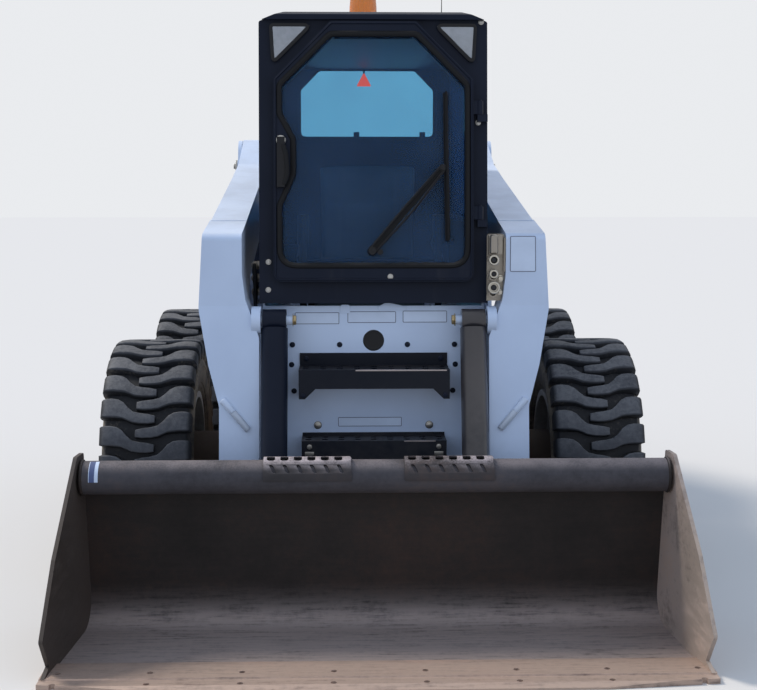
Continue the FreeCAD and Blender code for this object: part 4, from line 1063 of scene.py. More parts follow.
# The tilt ram on the +X side: worn paint, and lighter than the black of the other rams as painted
# light.
WORN_RAM_PAINTED_LIGHT = PaintFinish("worn_ram", (0.020, 0.020, 0.026), (0.045, 0.038, 0.038),
                       dirt=(0.20, 0.17, 0.15), dirt_from=0.2,
                       dirt_to=1.1, dirt_most=0.35, rough=0.30, chips=(0.22, 0.18, 0.16),
                       chip_amount=0.5, gloss=0.45)
COUPLER = PlainFinish("coupler_steel", (0.30, 0.275, 0.24), 0.42, 0.8, 160.0, 0.0004, 0.40,
                      (0.19, 0.155, 0.12))
SCUFFED_WHITE = PlainFinish("scuffed_white", (0.50, 0.54, 0.60), 0.45, 0.1, 60.0, 0.0006, 0.55,
                            (0.34, 0.22, 0.16))
SCUFFED = PlainFinish("scuffed_steel", (0.40, 0.345, 0.33), 0.45, 0.6, 120.0, 0.0006, 0.25,
                      (0.30, 0.22, 0.19))
IRON = PlainFinish("engine_paint", (0.02, 0.02, 0.023), 0.55, 0.0, 120.0, 0.0008, 0.45, gloss=0.3)
RUBBER = PlainFinish("moulded_rubber", (0.008, 0.0085, 0.010), 0.62, 0.0, 320.0, 0.0003, 0.18,
                     gloss=0.2)
PLASTIC = PlainFinish("black_plastic", (0.008, 0.0085, 0.011), 0.42, 0.0, 500.0, 0.0002, 0.18,
                      gloss=0.25)
LABEL = PlainFinish("bare_label", (0.66, 0.72, 0.82), 0.35, 0.0, 90.0, 0.0001, 0.10)
LABEL_RIM = PlainFinish("label_rim", (0.12, 0.13, 0.17), 0.4, 0.0, 90.0, 0.0001, 0.10)
LABEL_INSET = PlainFinish("label_inset", (0.055, 0.085, 0.20), 0.4, 0.0, 90.0, 0.0001, 0.10)
BRIGHT = PlainFinish("coupler_steel_bright", (0.50, 0.475, 0.42), 0.30, 0.9, 160.0, 0.0003, 0.25,
                     (0.25, 0.205, 0.15))
# The orange tag glows as painted light, though it is no lamp.
TAG = PlainFinish("orange_tag", (0.75, 0.075, 0.030), 0.5, 0.0, 200.0, 0.0001, 0.0, glow=1.6)
PANE = GlassFinish("cab_glass")
REAR_PANE = GlassFinish("side_glass", tint=(0.50, 0.80, 0.92), haze=0.04)
AMBER = LensFinish("amber_lens", (0.90, 0.25, 0.012))
CLEAR = LensFinish("lamp_lens", (0.66, 0.67, 0.68), 0.22, 0.6)
RED = LensFinish("red_lens", (0.50, 0.015, 0.012))
VINYL = SeatFinish("seat_vinyl")

NODE_FINISH = {
    WHITE: ("front_panel", "body_sides", "lift_arm_left", "lift_arm_right", "cross_tubes",
            "upright_left",
            "upright_right", "engine_hood", "tailgate", "tail_posts"),
    BLACK: ("cab_frame", "cab_roof", "door_frame", "door_hinges", "tailgate_hinges", "beacon_base",
            "lift_barrel_left",
            "lift_barrel_right", "tilt_barrel_right", "seat_bar", "cab_floor", "rear_bumper"),
    WORN_RAM_PAINTED_LIGHT: ("tilt_barrel_left",),
    BLACK_WORN: ("front_steps", "attach_frame", "belly_plate"),
    SOILED: ("axle_housings", "chain_cases"),
    WHITE_RIM: ("rim_front_left", "rim_front_right", "rim_rear_left", "rim_rear_right"),
    FRONT_TYRE: ("tyre_front_left", "tyre_front_right"),
    REAR_TYRE: ("tyre_rear_left", "tyre_rear_right"),
    RUST: ("bucket_shell",),
    RUST_SIDE: ("bucket_sides",),
    RUST_EDGE: ("cutting_edge",),
    RUST_TUBE: ("bucket_tube",),
    CHROME: ("lift_rod_left", "lift_rod_right", "tilt_rod_left", "tilt_rod_right"),
    COUPLER: ("hose_couplers",),
    IRON: ("engine_block",),
    RUBBER: ("wiper",),
    PLASTIC: ("door_handle", "control_levers"),
    PANE: ("door_glass",),
    REAR_PANE: ("cab_windows",),
    AMBER: ("beacon_lens",),
    CLEAR: ("work_lamps",),
    VINYL: ("seat",),
}


# Studio

@dataclass
class Studio:
    """The camera, the floor, the key light and the pale surround."""

    eye: Point = (-0.100, -5.255, 1.393)
    pitch: float = 5.48
    yaw: float = 1.52
    focal_pixels: float = 1307.45
    picture_width: float = 757.0
    picture_height: float = 690.0
    centre_row: float = 314.49
    sensor: float = 36.0
    floor_half: float = 60.0
    floor_colour: Colour = (0.68, 0.625, 0.555)
    floor_bounce: Colour = (0.40, 0.40, 0.39)
    surround: Colour = (0.82, 0.835, 0.86)
    sky: Colour = (0.69, 0.86, 1.17)
    sky_level: float = 0.84
    sun_from: Point = (-0.62, 0.28, 0.74)
    sun_level: float = 2.5
    sun_spread: float = 0.26
    sun_colour: Colour = (1.0, 0.965, 0.91)
    sun_reach: float = 9.0
    far: float = 200.0

    def camera(self) -> None:
        """Stand the camera where the photograph was taken."""
        lens = bpy.data.cameras.new("Camera")
        lens.sensor_width = self.sensor
        lens.lens = self.focal_pixels / self.picture_width * self.sensor
        lens.shift_y = (self.centre_row - self.picture_height / 2) / self.picture_width
        lens.clip_end = self.far
        stand = bpy.data.objects.new("Camera", lens)
        stand.location = self.eye
        stand.rotation_euler = (math.radians(90 - self.pitch), 0.0, math.radians(-self.yaw))
        bpy.context.scene.collection.objects.link(stand)
        bpy.context.scene.camera = stand

    def world(self) -> None:
        """Surround everything with a soft sky, which the camera, mirrors and glass see plain."""
        scene_world = bpy.data.worlds.new("Surround")
        bpy.context.scene.world = scene_world
        scene_world.use_nodes = True
        g = Graph("Surround", scene_world.node_tree)
        sky = g.node("ShaderNodeBackground", None,
                     {"Color": self.sky, "Strength": self.sky_level})[0]
        plain = g.node("ShaderNodeBackground", None, {"Color": self.surround, "Strength": 1.0})[0]
        mixed = g.node("ShaderNodeMixShader", None, {0: g.seen(), 1: sky, 2: plain})[0]
        g.node("ShaderNodeOutputWorld", None, {"Surface": mixed})

    def floor(self) -> None:
        """Lay a plain pale floor."""
        half = self.floor_half
        ground = Shape().add([(-half, -half, 0), (half, -half, 0), (half, half, 0),
                              (-half, half, 0)],
                             [(0, 1, 2, 3)]).piece("floor")
        g = Graph("pale_floor")
        ground.data.materials.append(g.surface(
            Base_Color=g.blend(g.seen(), self.floor_bounce, self.floor_colour), Roughness=0.9,
            Specular_IOR_Level=0.0))

    def sun(self) -> None:
        """Hang the soft key light, high on the picture's left and a little behind."""
        light = bpy.data.lights.new("key", "SUN")
        light.energy, light.angle, light.color = self.sun_level, self.sun_spread, self.sun_colour
        stand = bpy.data.objects.new("key", light)
        stand.rotation_euler = Vector(self.sun_from).to_track_quat("Z", "Y").to_euler()
        stand.location = Vector(self.sun_from) * self.sun_reach
        bpy.context.scene.collection.objects.link(stand)

    def build(self) -> None:
        """Set up the whole studio."""
        self.camera()
        self.world()
        self.floor()
        self.sun()


# Wheels

@dataclass
class Wheel:
    """One wheel: a lugged tyre in place of the plain one, with the nuts of its rim."""

    shop: Workshop
    side: Side
    end: End
    width: float = 0.316
    radius: float = 0.42
    tread: float = 0.026
    bead: float = 0.214
    wall: float = 0.02
    lugs: int = 26
    phase: float = 0.35
    sides: int = 120
    nut_circle: float = 0.076
    nuts: int = 8
    disc_x: float = 0.014

    @property
    def name(self) -> str:
        """The end and the side, as the construction spells them."""
        return "%s_%s" % (self.end.value, self.side.word)

    @property
    def centre(self) -> Point:
        """The wheel's centre."""
        low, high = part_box("tyre_" + self.name)
        return tuple((low + high) / 2)

    def carcass(self, shape: Shape) -> None:
        """Add the tyre's ribbed casing.

        Args:
            shape: Where it goes.
        """
        half, low = self.width / 2, self.bead
        face = [(half - 0.026, low), (half - 0.026, low + 0.017), (half - 0.017, low + 0.030),
                (half - 0.014, low + 0.033),
                (half - 0.013, low + 0.044), (half - 0.009, low + 0.047),
                (half - 0.006, low + 0.066),
                (half - 0.003, low + 0.090), (half - 0.003, low + 0.104), (half, low + 0.107),
                (half, low + 0.116), (half - 0.005, low + 0.122), (half - 0.010, low + 0.150),
                (half - 0.022, self.radius - self.tread - 0.010),
                (0.070, self.radius - self.tread - 0.001),
                (0.0, self.radius - self.tread)]
        inner = [(a - (0.022 if r < low + 0.02 else self.wall) * (a > 0.001),
                  max(r - self.wall, low)) for a, r in face]
        ring = face + [(-a, r) for a, r in reversed(face[:-1])]
        ring += [(-a, r) for a, r in inner[:-1]] + list(reversed(inner))
        shape.lathe(Axis.X, self.centre, ring, self.sides)

    def lug(self, shape: Shape, row: int, turn: float) -> None:
        """Add one lug: a broad block on the shoulder with a narrower tongue that passes the middle.

        Args:
            shape: Where it goes.
            row: 1 for the outer row, -1 for the inner one.
            turn: Its place about the axle, in radians.
        """
        cx, cy, cz = self.centre
        top, foot, rows = self.radius, self.radius - self.tread - 0.010, []
        # Across, height, half width, how far it trails, and how far its foot is tucked in.
        path = [(-0.034, top - 0.020, 0.0100, 0.044, 0.0),
                (-0.032, top - 0.001, 0.0125, 0.0435, 0.0),
                (-0.010, top, 0.0165, 0.0425, 0.0), (0.020, top, 0.0180, 0.0400, 0.0),
                (0.044, top, 0.0190, 0.0350, 0.0),
                (0.062, top, 0.0225, 0.0230, 0.0), (0.078, top, 0.0285, 0.0100, 0.0),
                (0.096, top, 0.0325, 0.0030, 0.0),
                (0.118, top - 0.0005, 0.0335, 0.0, 0.0), (0.138, top - 0.003, 0.0335, 0.0, 0.002),
                (0.1500, top - 0.008, 0.0325, 0.0, 0.008),
                (0.1570, top - 0.020, 0.0310, 0.0, 0.014),
                (0.1578, top - 0.045, 0.0280, 0.0, 0.013),
                (0.1565, top - 0.066, 0.0230, 0.0, 0.009)]
        for across, high, half, trail, tuck in path:
            low = min(foot, high - 0.012) if tuck < 0.009 else high - 0.014
            section = []
            for reach, out, wide in ((low, across - tuck, 1.16), (high - 0.0035, across, 1.03),
                                     (high, across - tuck * 0.1, 0.93),
                                     (high, across - tuck * 0.1, -0.93),
                                     (high - 0.0035, across, -1.03),
                                     (low, across - tuck, -1.16)):
                angle = turn + (trail + wide * half) / top
                section.append((cx + row * out * self.side.value, cy - reach * math.cos(angle),
                                cz - reach * math.sin(angle)))
            rows.append(section)
        shape.skin(rows)

    def tyre(self) -> None:
        """Build the tyre and put it in the plain one's place."""
        shape = Shape()
        self.carcass(shape)
        for row in (1, -1):
            for i in range(self.lugs):
                self.lug(shape, row, 2 * math.pi * (i + 0.25 * row + self.phase) / self.lugs)
        tyre = shape.piece("tread_tyre_" + self.name, 0.0022, 2, 40.0)
        finish = FRONT_TYRE if self.end is End.FRONT else REAR_TYRE
        self.shop.dress(tyre, finish, "wheel_" + self.name, "tyre")
        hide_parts("tyre_" + self.name)

    def fasteners(self) -> None:
        """Build the wheel nuts and the valve."""
        cx, cy, cz = self.centre
        out, shape = self.side.value, Shape()
        for i in range(self.nuts):
            angle = 2 * math.pi * (i + 0.5) / self.nuts
            spot = (cx + out * self.disc_x, cy + self.nut_circle * math.cos(angle),
                    cz + self.nut_circle * math.sin(angle))
            shape.nut(spot, (out, 0, 0), 0.026, 0.018)
            shape.rod(spot, (spot[0] + out * 0.028, spot[1], spot[2]), 0.0075, 12)
        self.shop.dress(shape.piece("wheel_nuts_" + self.name, 0.0008), ZINC, "wheel_" + self.name)
        valve = Shape().rod((cx + out * 0.060, cy, cz + 0.176), (cx + out * 0.098, cy, cz + 0.168),
                            0.005, 12)
        valve.rod((cx + out * 0.098, cy, cz + 0.168), (cx + out * 0.112, cy, cz + 0.165), 0.0062,
                  12)
        self.shop.dress(valve.piece("valve_" + self.name, 0.0006), RUBBER, "wheel_" + self.name)

    def build(self) -> None:
        """Build the wheel."""
        self.tyre()
        self.fasteners()


# Cab

@dataclass
class LeaningFront:
    """The cab's leaning front plane, on which the door hangs."""

    foot_y: float = -0.885
    foot_z: float = 1.012
    lean: float = 0.077
    rise: float = 0.939

    @property
    def up(self) -> Vector:
        """The direction up the plane."""
        return Vector((0.0, self.lean, self.rise)).normalized()

    @property
    def out(self) -> Vector:
        """The direction out of the plane."""
        return Vector((0.0, -self.rise, self.lean)).normalized()

    def at(self, x: float, z: float, stand: float) -> Vector:
        """A point on or before the plane.

        Args:
            x: Its X.
            z: The height at which the plane passes there.
            stand: How far it stands out of the plane.

        Returns:
            The point.
        """
        climb = (z - self.foot_z) / self.up.z
        return Vector((x, self.foot_y, self.foot_z)) + self.up * climb + self.out * stand

    def slab(self, shape: Shape, outline: Sequence[Spot2], low: float, high: float) -> None:
        """Add a plate that lies on the plane.

        Args:
            shape: Where it goes.
            outline: Its corners as (x, z).
            low: Where its back stands, out of the plane.
            high: Where its face stands.
        """
        shape.skin([[self.at(x, z, stand) for x, z in outline] for stand in (low, high)])

    def band(self, shape: Shape, outline: Sequence[Spot2], rings: Sequence[Spot2]) -> None:
        """Add a closed moulding that follows an outline.

        Args:
            shape: Where it goes.
            outline: The line that it follows, as (x, z).
            rings: The moulding's section as (growth of the outline, stand out of the plane).
        """
        shape.moulding([[self.at(x, z, stand) for x, z in grown(outline, by)] for by,
                        stand in rings])


@dataclass
class Cab:
    """Seals, lamps, beacon, seat, screens and small fittings of the cab."""

    shop: Workshop
    front: LeaningFront = field(default_factory=LeaningFront)
    half: float = 0.383
    wall: float = 0.03
    rear_y: float = 0.40
    glass_half: float = 0.312
    glass_low: float = 1.138
    glass_high: float = 1.903
    glass_chamfer: float = 0.168
    corner: float = 0.058
    roof_top: float = 1.985
    beacon_ribs: int = 96
    rib_depth: float = 0.022
    bar_radius: float = 0.0042
    seat_fill: float = 0.75

    def glass_outline(self) -> list[Spot2]:
        """The pane's outline, with the step beside the handle."""
        half, high, cut = self.glass_half, self.glass_high, self.glass_chamfer
        corners = [(-half, self.glass_low), (half, self.glass_low), (half, high - cut),
                   (half - cut, high),
                   (-half + cut, high), (-half, high - cut), (-half, 1.640), (-half + 0.046, 1.556),
                   (-half + 0.046, 1.440), (-half, 1.335)]
        return rounded(corners,
                       [self.corner, self.corner, 0.03, 0.03, 0.03, 0.03, 0.03, 0.03, 0.03, 0.03])

    def seals(self) -> None:
        """Run the rubber seal round the pane and the bead round the door's edge."""
        seal, outline = Shape(), self.glass_outline()
        self.front.band(seal, outline,
                        [(-0.007, 0.016), (-0.009, 0.026), (-0.006, 0.034), (0.0, 0.038),
                         (0.007, 0.037),
                                        (0.011, 0.0325), (0.0, 0.0325), (-0.001, 0.016)])
        self.shop.dress(seal.piece("glass_seal"), RUBBER, "cab_door", "rubber")
        rim, half, high, cut = Shape(), 0.334, 1.947, 0.190
        edge = rounded([(-half, 1.083), (half, 1.083), (half, high - cut), (half - cut, high),
                        (-half + cut, high),
                        (-half, high - cut)], [0.03, 0.03, 0.02, 0.02, 0.02, 0.02])
        self.front.band(rim, edge,
                        [(-0.004, 0.0322), (-0.011, 0.0322), (-0.0095, 0.0365), (-0.0055, 0.0365)])
        self.shop.dress(rim.piece("door_rib"), BLACK, "cab_door", "black_steel")
        foam = Shape()
        self.front.band(foam, edge,
                        [(-0.004, 0.0004), (-0.024, 0.0004), (-0.024, 0.0058), (-0.004, 0.0058)])
        self.shop.dress(foam.piece("door_seal"), RUBBER, "chassis", "rubber")

    def lamps(self) -> None:
        """Build a framed, fluted lamp in each upper corner of the front."""
        lens, rim, back = Shape(), Shape(), Shape()
        for side in Side:
            s = side.value
            corners = [(s * 0.213, 1.935), (s * 0.333, 1.815), (s * 0.340, 1.935)]
            if side is Side.RIGHT:
                corners.reverse()
            face = rounded(corners, 0.008, 4)
            self.front.slab(back, face, 0.0103, 0.0112)
            self.front.slab(lens, grown(face, -0.004), 0.0115, 0.0135)
            self.front.band(rim, face,
                            [(0.007, 0.0003), (0.0075, 0.0125), (0.002, 0.0145), (-0.004, 0.0138),
                                        (-0.004, 0.0114), (0.001, 0.0112), (0.001, 0.0003)])
        self.shop.dress(back.piece("lamp_mirror"), LampMirror("lamp_mirror"), "chassis")
        self.shop.dress(lens.piece("lamp_glass", 0.0005), CLEAR, "chassis", "lamp_glass")
        self.shop.dress(rim.piece("lamp_rim"), PLASTIC, "chassis", "black_plastic")

    def beacon(self) -> None:
        """Build the ribbed amber dome in place of the plain lens."""
        low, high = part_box("beacon_lens")
        centre = (low + high) / 2
        radius, tall, rows = (high.x - low.x) / 2, high.z - low.z, []
        profile = [(0.0, 0.985), (0.02, 1.0), (0.55, 0.96), (0.80, 0.90), (0.92, 0.78),
                   (0.985, 0.55), (1.0, 0.22)]
        for up, reach in profile:
            rows.append([(centre.x + radius * reach * (1 - self.rib_depth * (k % 2))
                          * math.cos(angle),
                          centre.y + radius * reach * (1 - self.rib_depth * (k % 2))
                          * math.sin(angle),
                          low.z + tall * up) for k, angle in enumerate(turns(self.beacon_ribs))])
        dome = Shape().skin(rows).piece("beacon_dome")
        self.shop.dress(dome, AMBER, "chassis", "amber")
        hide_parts("beacon_lens")
        base = Shape()
        base.lathe(Axis.Z, (centre.x, centre.y, low.z), [
            (-0.004, 0.040), (-0.004, 0.0655), (0.004, 0.0655), (0.006, 0.0635),
                                                         (0.006, radius + 0.0005),
            (0.0, radius + 0.0005), (0.0, 0.040)], 64)
        for k in range(3):
            angle = 2 * math.pi * (k + 0.2) / 3
            spot = (centre.x + 0.056 * math.cos(angle), centre.y + 0.056 * math.sin(angle),
                    self.roof_top)
            base.rod(spot, (spot[0], spot[1], self.roof_top + 0.02), 0.010, 16)
        self.shop.dress(base.piece("beacon_ring", 0.0006), RUBBER, "chassis", "rubber")

    def cushion(self, name: str, low: Vector, high: Vector, up: Axis, channels: Sequence[float],
                crown: float) -> bpy.types.Object:
        """Build one padded cushion with sewn channels and piping.

        Args:
            name: The piece's name.
            low: The lowest corner of the space that it fills.
            high: The highest corner.
            up: The axis along which it is crowned: Z for the seat, Y for the back.
            channels: Where channels cross its length, as shares of it.
            crown: How far its middle stands over its rim.

        Returns:
            The cushion.
        """
        wide, steps_u, steps_v = high - low, 30, 34
        other = Axis.Y if up is Axis.Z else Axis.Z
        rows = []
        for i in range(steps_v + 1):
            v = i / steps_v
            row = []
            for sign in (1, -1):
                run = range(steps_u + 1) if sign > 0 else range(steps_u - 1, 0, -1)
                for k in run:
                    u = k / steps_u
                    fall_u, fall_v = 1 - abs(2 * u - 1) ** 5.0, 1 - abs(2 * v - 1) ** 5.0
                    swell = (max(fall_u, 0.0) * max(fall_v, 0.0)) ** 0.38
                    line = sum(math.exp(-((v - c) / 0.012) ** 2) for c in channels)
                    flute = sum(math.exp(-((u - c) / 0.016) ** 2) for c in (0.24, 0.76))
                    lift = (0.5 + 0.5 * swell
                            * (1 - 0.10 * line - 0.10
                               * flute)) if sign > 0 else 0.5 - 0.5 * swell ** 0.6
                    bow = 1.0 - crown * ((2 * u - 1) ** 2 + (2 * v - 1) ** 2) * 0.5 * (sign > 0)
                    pinch = 1.0 - 0.05 * (1 - abs(2 * v - 1)) * (abs(2 * u - 1) > 0.9)
                    spot = [low.x + wide.x * (0.5 + (u - 0.5) * pinch), 0.0, 0.0]
                    spot[other.value] = low[other.value] + wide[other.value] * v
                    share = lift * bow
                    if up is Axis.Y:
                        share = 1.0 - share
                    spot[up.value] = low[up.value] + wide[up.value] * share
                    row.append(tuple(spot))
            rows.append(row)
        pad = Shape().skin(rows).piece(name, limit=70.0)
        finer = pad.modifiers.new("Soft", "SUBSURF")
        finer.levels = finer.render_levels = 1
        self.shop.dress(pad, VINYL, "chassis", "seat_cover")
        return pad

    def seat(self) -> None:
        """Build the seat's two cushions in place of the plain solids."""
        base = self.cushion("seat_cushion", Vector((-0.225, -0.19, 0.882)),
                            Vector((0.225, 0.21, 0.990)), Axis.Z,
                            (0.34, 0.67), 0.16)
        self.cushion("seat_back_pad", Vector((-0.205, 0.225, 0.900)), Vector((0.205, 0.330, 1.492)),
                     Axis.Y,
                     (0.30, 0.52, 0.74), 0.18)
        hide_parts("seat")

    def tag(self) -> None:
        """Hang the plain orange tag, which glows as painted light, on its strap behind the rear
        window's head.
        """
        y, plate, strap = self.rear_y - self.wall - 0.02, Shape(), Shape()
        plate.prism(Axis.Y, y, y + 0.004,
                    rounded([(-0.045, 1.826), (0.018, 1.826), (-0.013, 1.884)], 0.004, 3))
        strap.prism(Axis.Y, y + 0.001, y + 0.003,
                    [(-0.0165, 1.874), (-0.0095, 1.874), (-0.0095, 1.905), (-0.0165, 1.905)])
        self.shop.dress(plate.piece("warning_tag", 0.0006), TAG, "chassis")
        self.shop.dress(strap.piece("tag_strap"), RUBBER, "chassis", "rubber")

    def screens(self) -> None:
        """Bar the two side openings with the welded guard of such a cab."""
        mesh = Shape()
        for side in Side:
            x = side.value * (self.half - 0.011)
            for i in range(13):
                y = -0.660 + 0.075 * i
                mesh.rod((x, y, 1.286), (x, y, 1.854), self.bar_radius, 10)
            for k in range(7):
                z = 1.33 + 0.08 * k
                mesh.rod((x + side.value * 0.006, -0.690, z), (x + side.value * 0.006, 0.312, z),
                         self.bar_radius, 10)
        self.shop.dress(mesh.piece("side_guard"), BLACK, "chassis", "black_steel")

    def wiper(self) -> None:
        """Lay the wiper's two arms, its head and its blade over the plain one's line."""
        front, arm, blade = self.front, Shape(), Shape()
        hub, elbow = (-0.005, 1.185), (0.229, 1.461)
        for shift in (-0.008, 0.012):
            arm.hose([front.at(hub[0] + shift, hub[1] + 0.004 - shift * 0.4, 0.047),
                      front.at((hub[0] + elbow[0]) / 2 + shift, (hub[1] + elbow[1]) / 2 - shift,
                               0.052),
                      front.at(elbow[0] + shift * 0.6, elbow[1] - shift * 0.6, 0.046)], 0.0042, 10)
        arm.rod(front.at(*hub, 0.030), front.at(*hub, 0.053), 0.017, 24, 0.013)
        arm.rod(front.at(hub[0] + 0.026, hub[1] - 0.004, 0.030),
                front.at(hub[0] + 0.026, hub[1] - 0.004, 0.048), 0.010, 16)
        arm.rod(front.at(*elbow, 0.036), front.at(*elbow, 0.052), 0.011, 20)
        self.shop.dress(arm.piece("wiper_arms", 0.0006), PLASTIC, "cab_door", "black_plastic")
        line = [(0.249, 1.221), (0.2475, 1.340), (0.2445, 1.461), (0.2425, 1.590), (0.241, 1.709)]
        blade.hose([front.at(x, z, 0.0395 + 0.006 * math.sin(math.pi * i / 4)) for i,
                    (x, z) in enumerate(line)], 0.0052, 8)
        front.slab(blade, [(0.2475, 1.216), (0.2515, 1.216), (0.2435, 1.714), (0.2395, 1.714)],
                   0.0185, 0.0385)
        self.shop.dress(blade.piece("wiper_blade"), RUBBER, "cab_door", "rubber")

    def fittings(self) -> None:
        """Set the cab's bolts, the door's latch and the grips beside it."""
        bolts, latch = Shape(), Shape()
        for x, z in ((-0.353, 1.057), (-0.352, 1.150), (0.352, 1.615), (0.055, 1.100),
                     (0.362, 1.950)):
            bolts.nut(self.front.at(x, z, 0.0003 if abs(x) > 0.34 else 0.0325), self.front.out,
                      0.013, 0.006)
        self.shop.dress(bolts.piece("cab_bolts", 0.0004), ZINC, "chassis")
        latch.rod(self.front.at(-0.307, 1.551, 0.032), self.front.at(-0.307, 1.551, 0.052), 0.017,
                  28, 0.0155)
        self.shop.dress(latch.piece("door_lock", 0.001), ZINC, "cab_door")
        grip = Shape().hose([self.front.at(-0.296, 1.405, 0.060),
                             self.front.at(-0.286, 1.44, 0.0625),
                             self.front.at(-0.290, 1.50, 0.0625),
                             self.front.at(-0.300, 1.535, 0.060)], 0.008, 14)
        self.shop.dress(grip.piece("door_grip"), RUBBER, "cab_door", "rubber")

    def aerial(self) -> None:
        """Stand the thin aerial on the roof's rear left corner."""
        shape = Shape().lathe(Axis.Z, (0.300, 0.150, self.roof_top), [
            (-0.002, 0.0), (-0.002, 0.014), (0.006, 0.014), (0.022, 0.007), (0.030, 0.0042),
                                                                      (0.034, 0.0)], 20)
        shape.rod((0.300, 0.150, self.roof_top + 0.03), (0.300, 0.152, 2.165), 0.0024, 10, 0.0014)
        self.shop.dress(shape.piece("aerial"), PLASTIC, "chassis", "black_plastic")

    def elbows(self) -> None:
        """Screw the steel elbows into the block beside the cab's right front corner."""
        ends, tubes, x, y = Shape(), Shape(), -0.3835, -0.770
        for z in (1.043, 1.090, 1.134):
            ends.rod((x, y, z), (x - 0.012, y, z), 0.014, 20)
            ends.nut((x - 0.012, y, z), (-1, 0, 0), 0.021, 0.012)
            ends.nut((x - 0.020, y - 0.006, z), (0, -1, 0), 0.019, 0.020)
            tubes.hose([(x - 0.0205, y - 0.012, z), (x - 0.0205, y - 0.040, z),
                        (x - 0.018, y - 0.052, z - 0.020),
                        (x - 0.016, y - 0.040, z - 0.060), (x - 0.014, y + 0.020, z - 0.085)],
                       0.0065, 12, 10)
        self.shop.dress(ends.piece("steel_elbows", 0.0006), COUPLER, "chassis")
        self.shop.dress(tubes.piece("elbow_lines"), RUBBER, "chassis", "rubber")

    def rear_window(self) -> None:
        """Seal the rear window and lay its pull cord's clips."""
        y = self.rear_y - self.wall - 0.004
        outline = rounded([(-0.286, 1.609), (0.286, 1.609), (0.286, 1.812), (0.204, 1.896),
                           (-0.204, 1.896),
                           (-0.286, 1.812)], 0.028, 5)
        seal = Shape().moulding([[(x, place, z) for x, z in grown(outline, by)] for by, place in (
            (0.004, y - 0.0065), (0.012, y - 0.0065), (0.012,
                                                       y - 0.012), (0.002, y
                                                                    - 0.014), (-0.006, y - 0.011),
            (-0.006, y - 0.0065))])
        for x in (-0.045, 0.235):
            seal.block((x - 0.012, y - 0.020, 1.612), (x + 0.012, y - 0.009, 1.634))
        self.shop.dress(seal.piece("rear_seal"), RUBBER, "chassis", "rubber")

    def build(self) -> None:
        """Build everything on the cab."""
        self.seals()
        self.lamps()
        self.beacon()
        self.seat()
        self.tag()
        self.screens()
        self.wiper()
        self.fittings()
        self.aerial()
        self.elbows()
        self.rear_window()


# Front panel

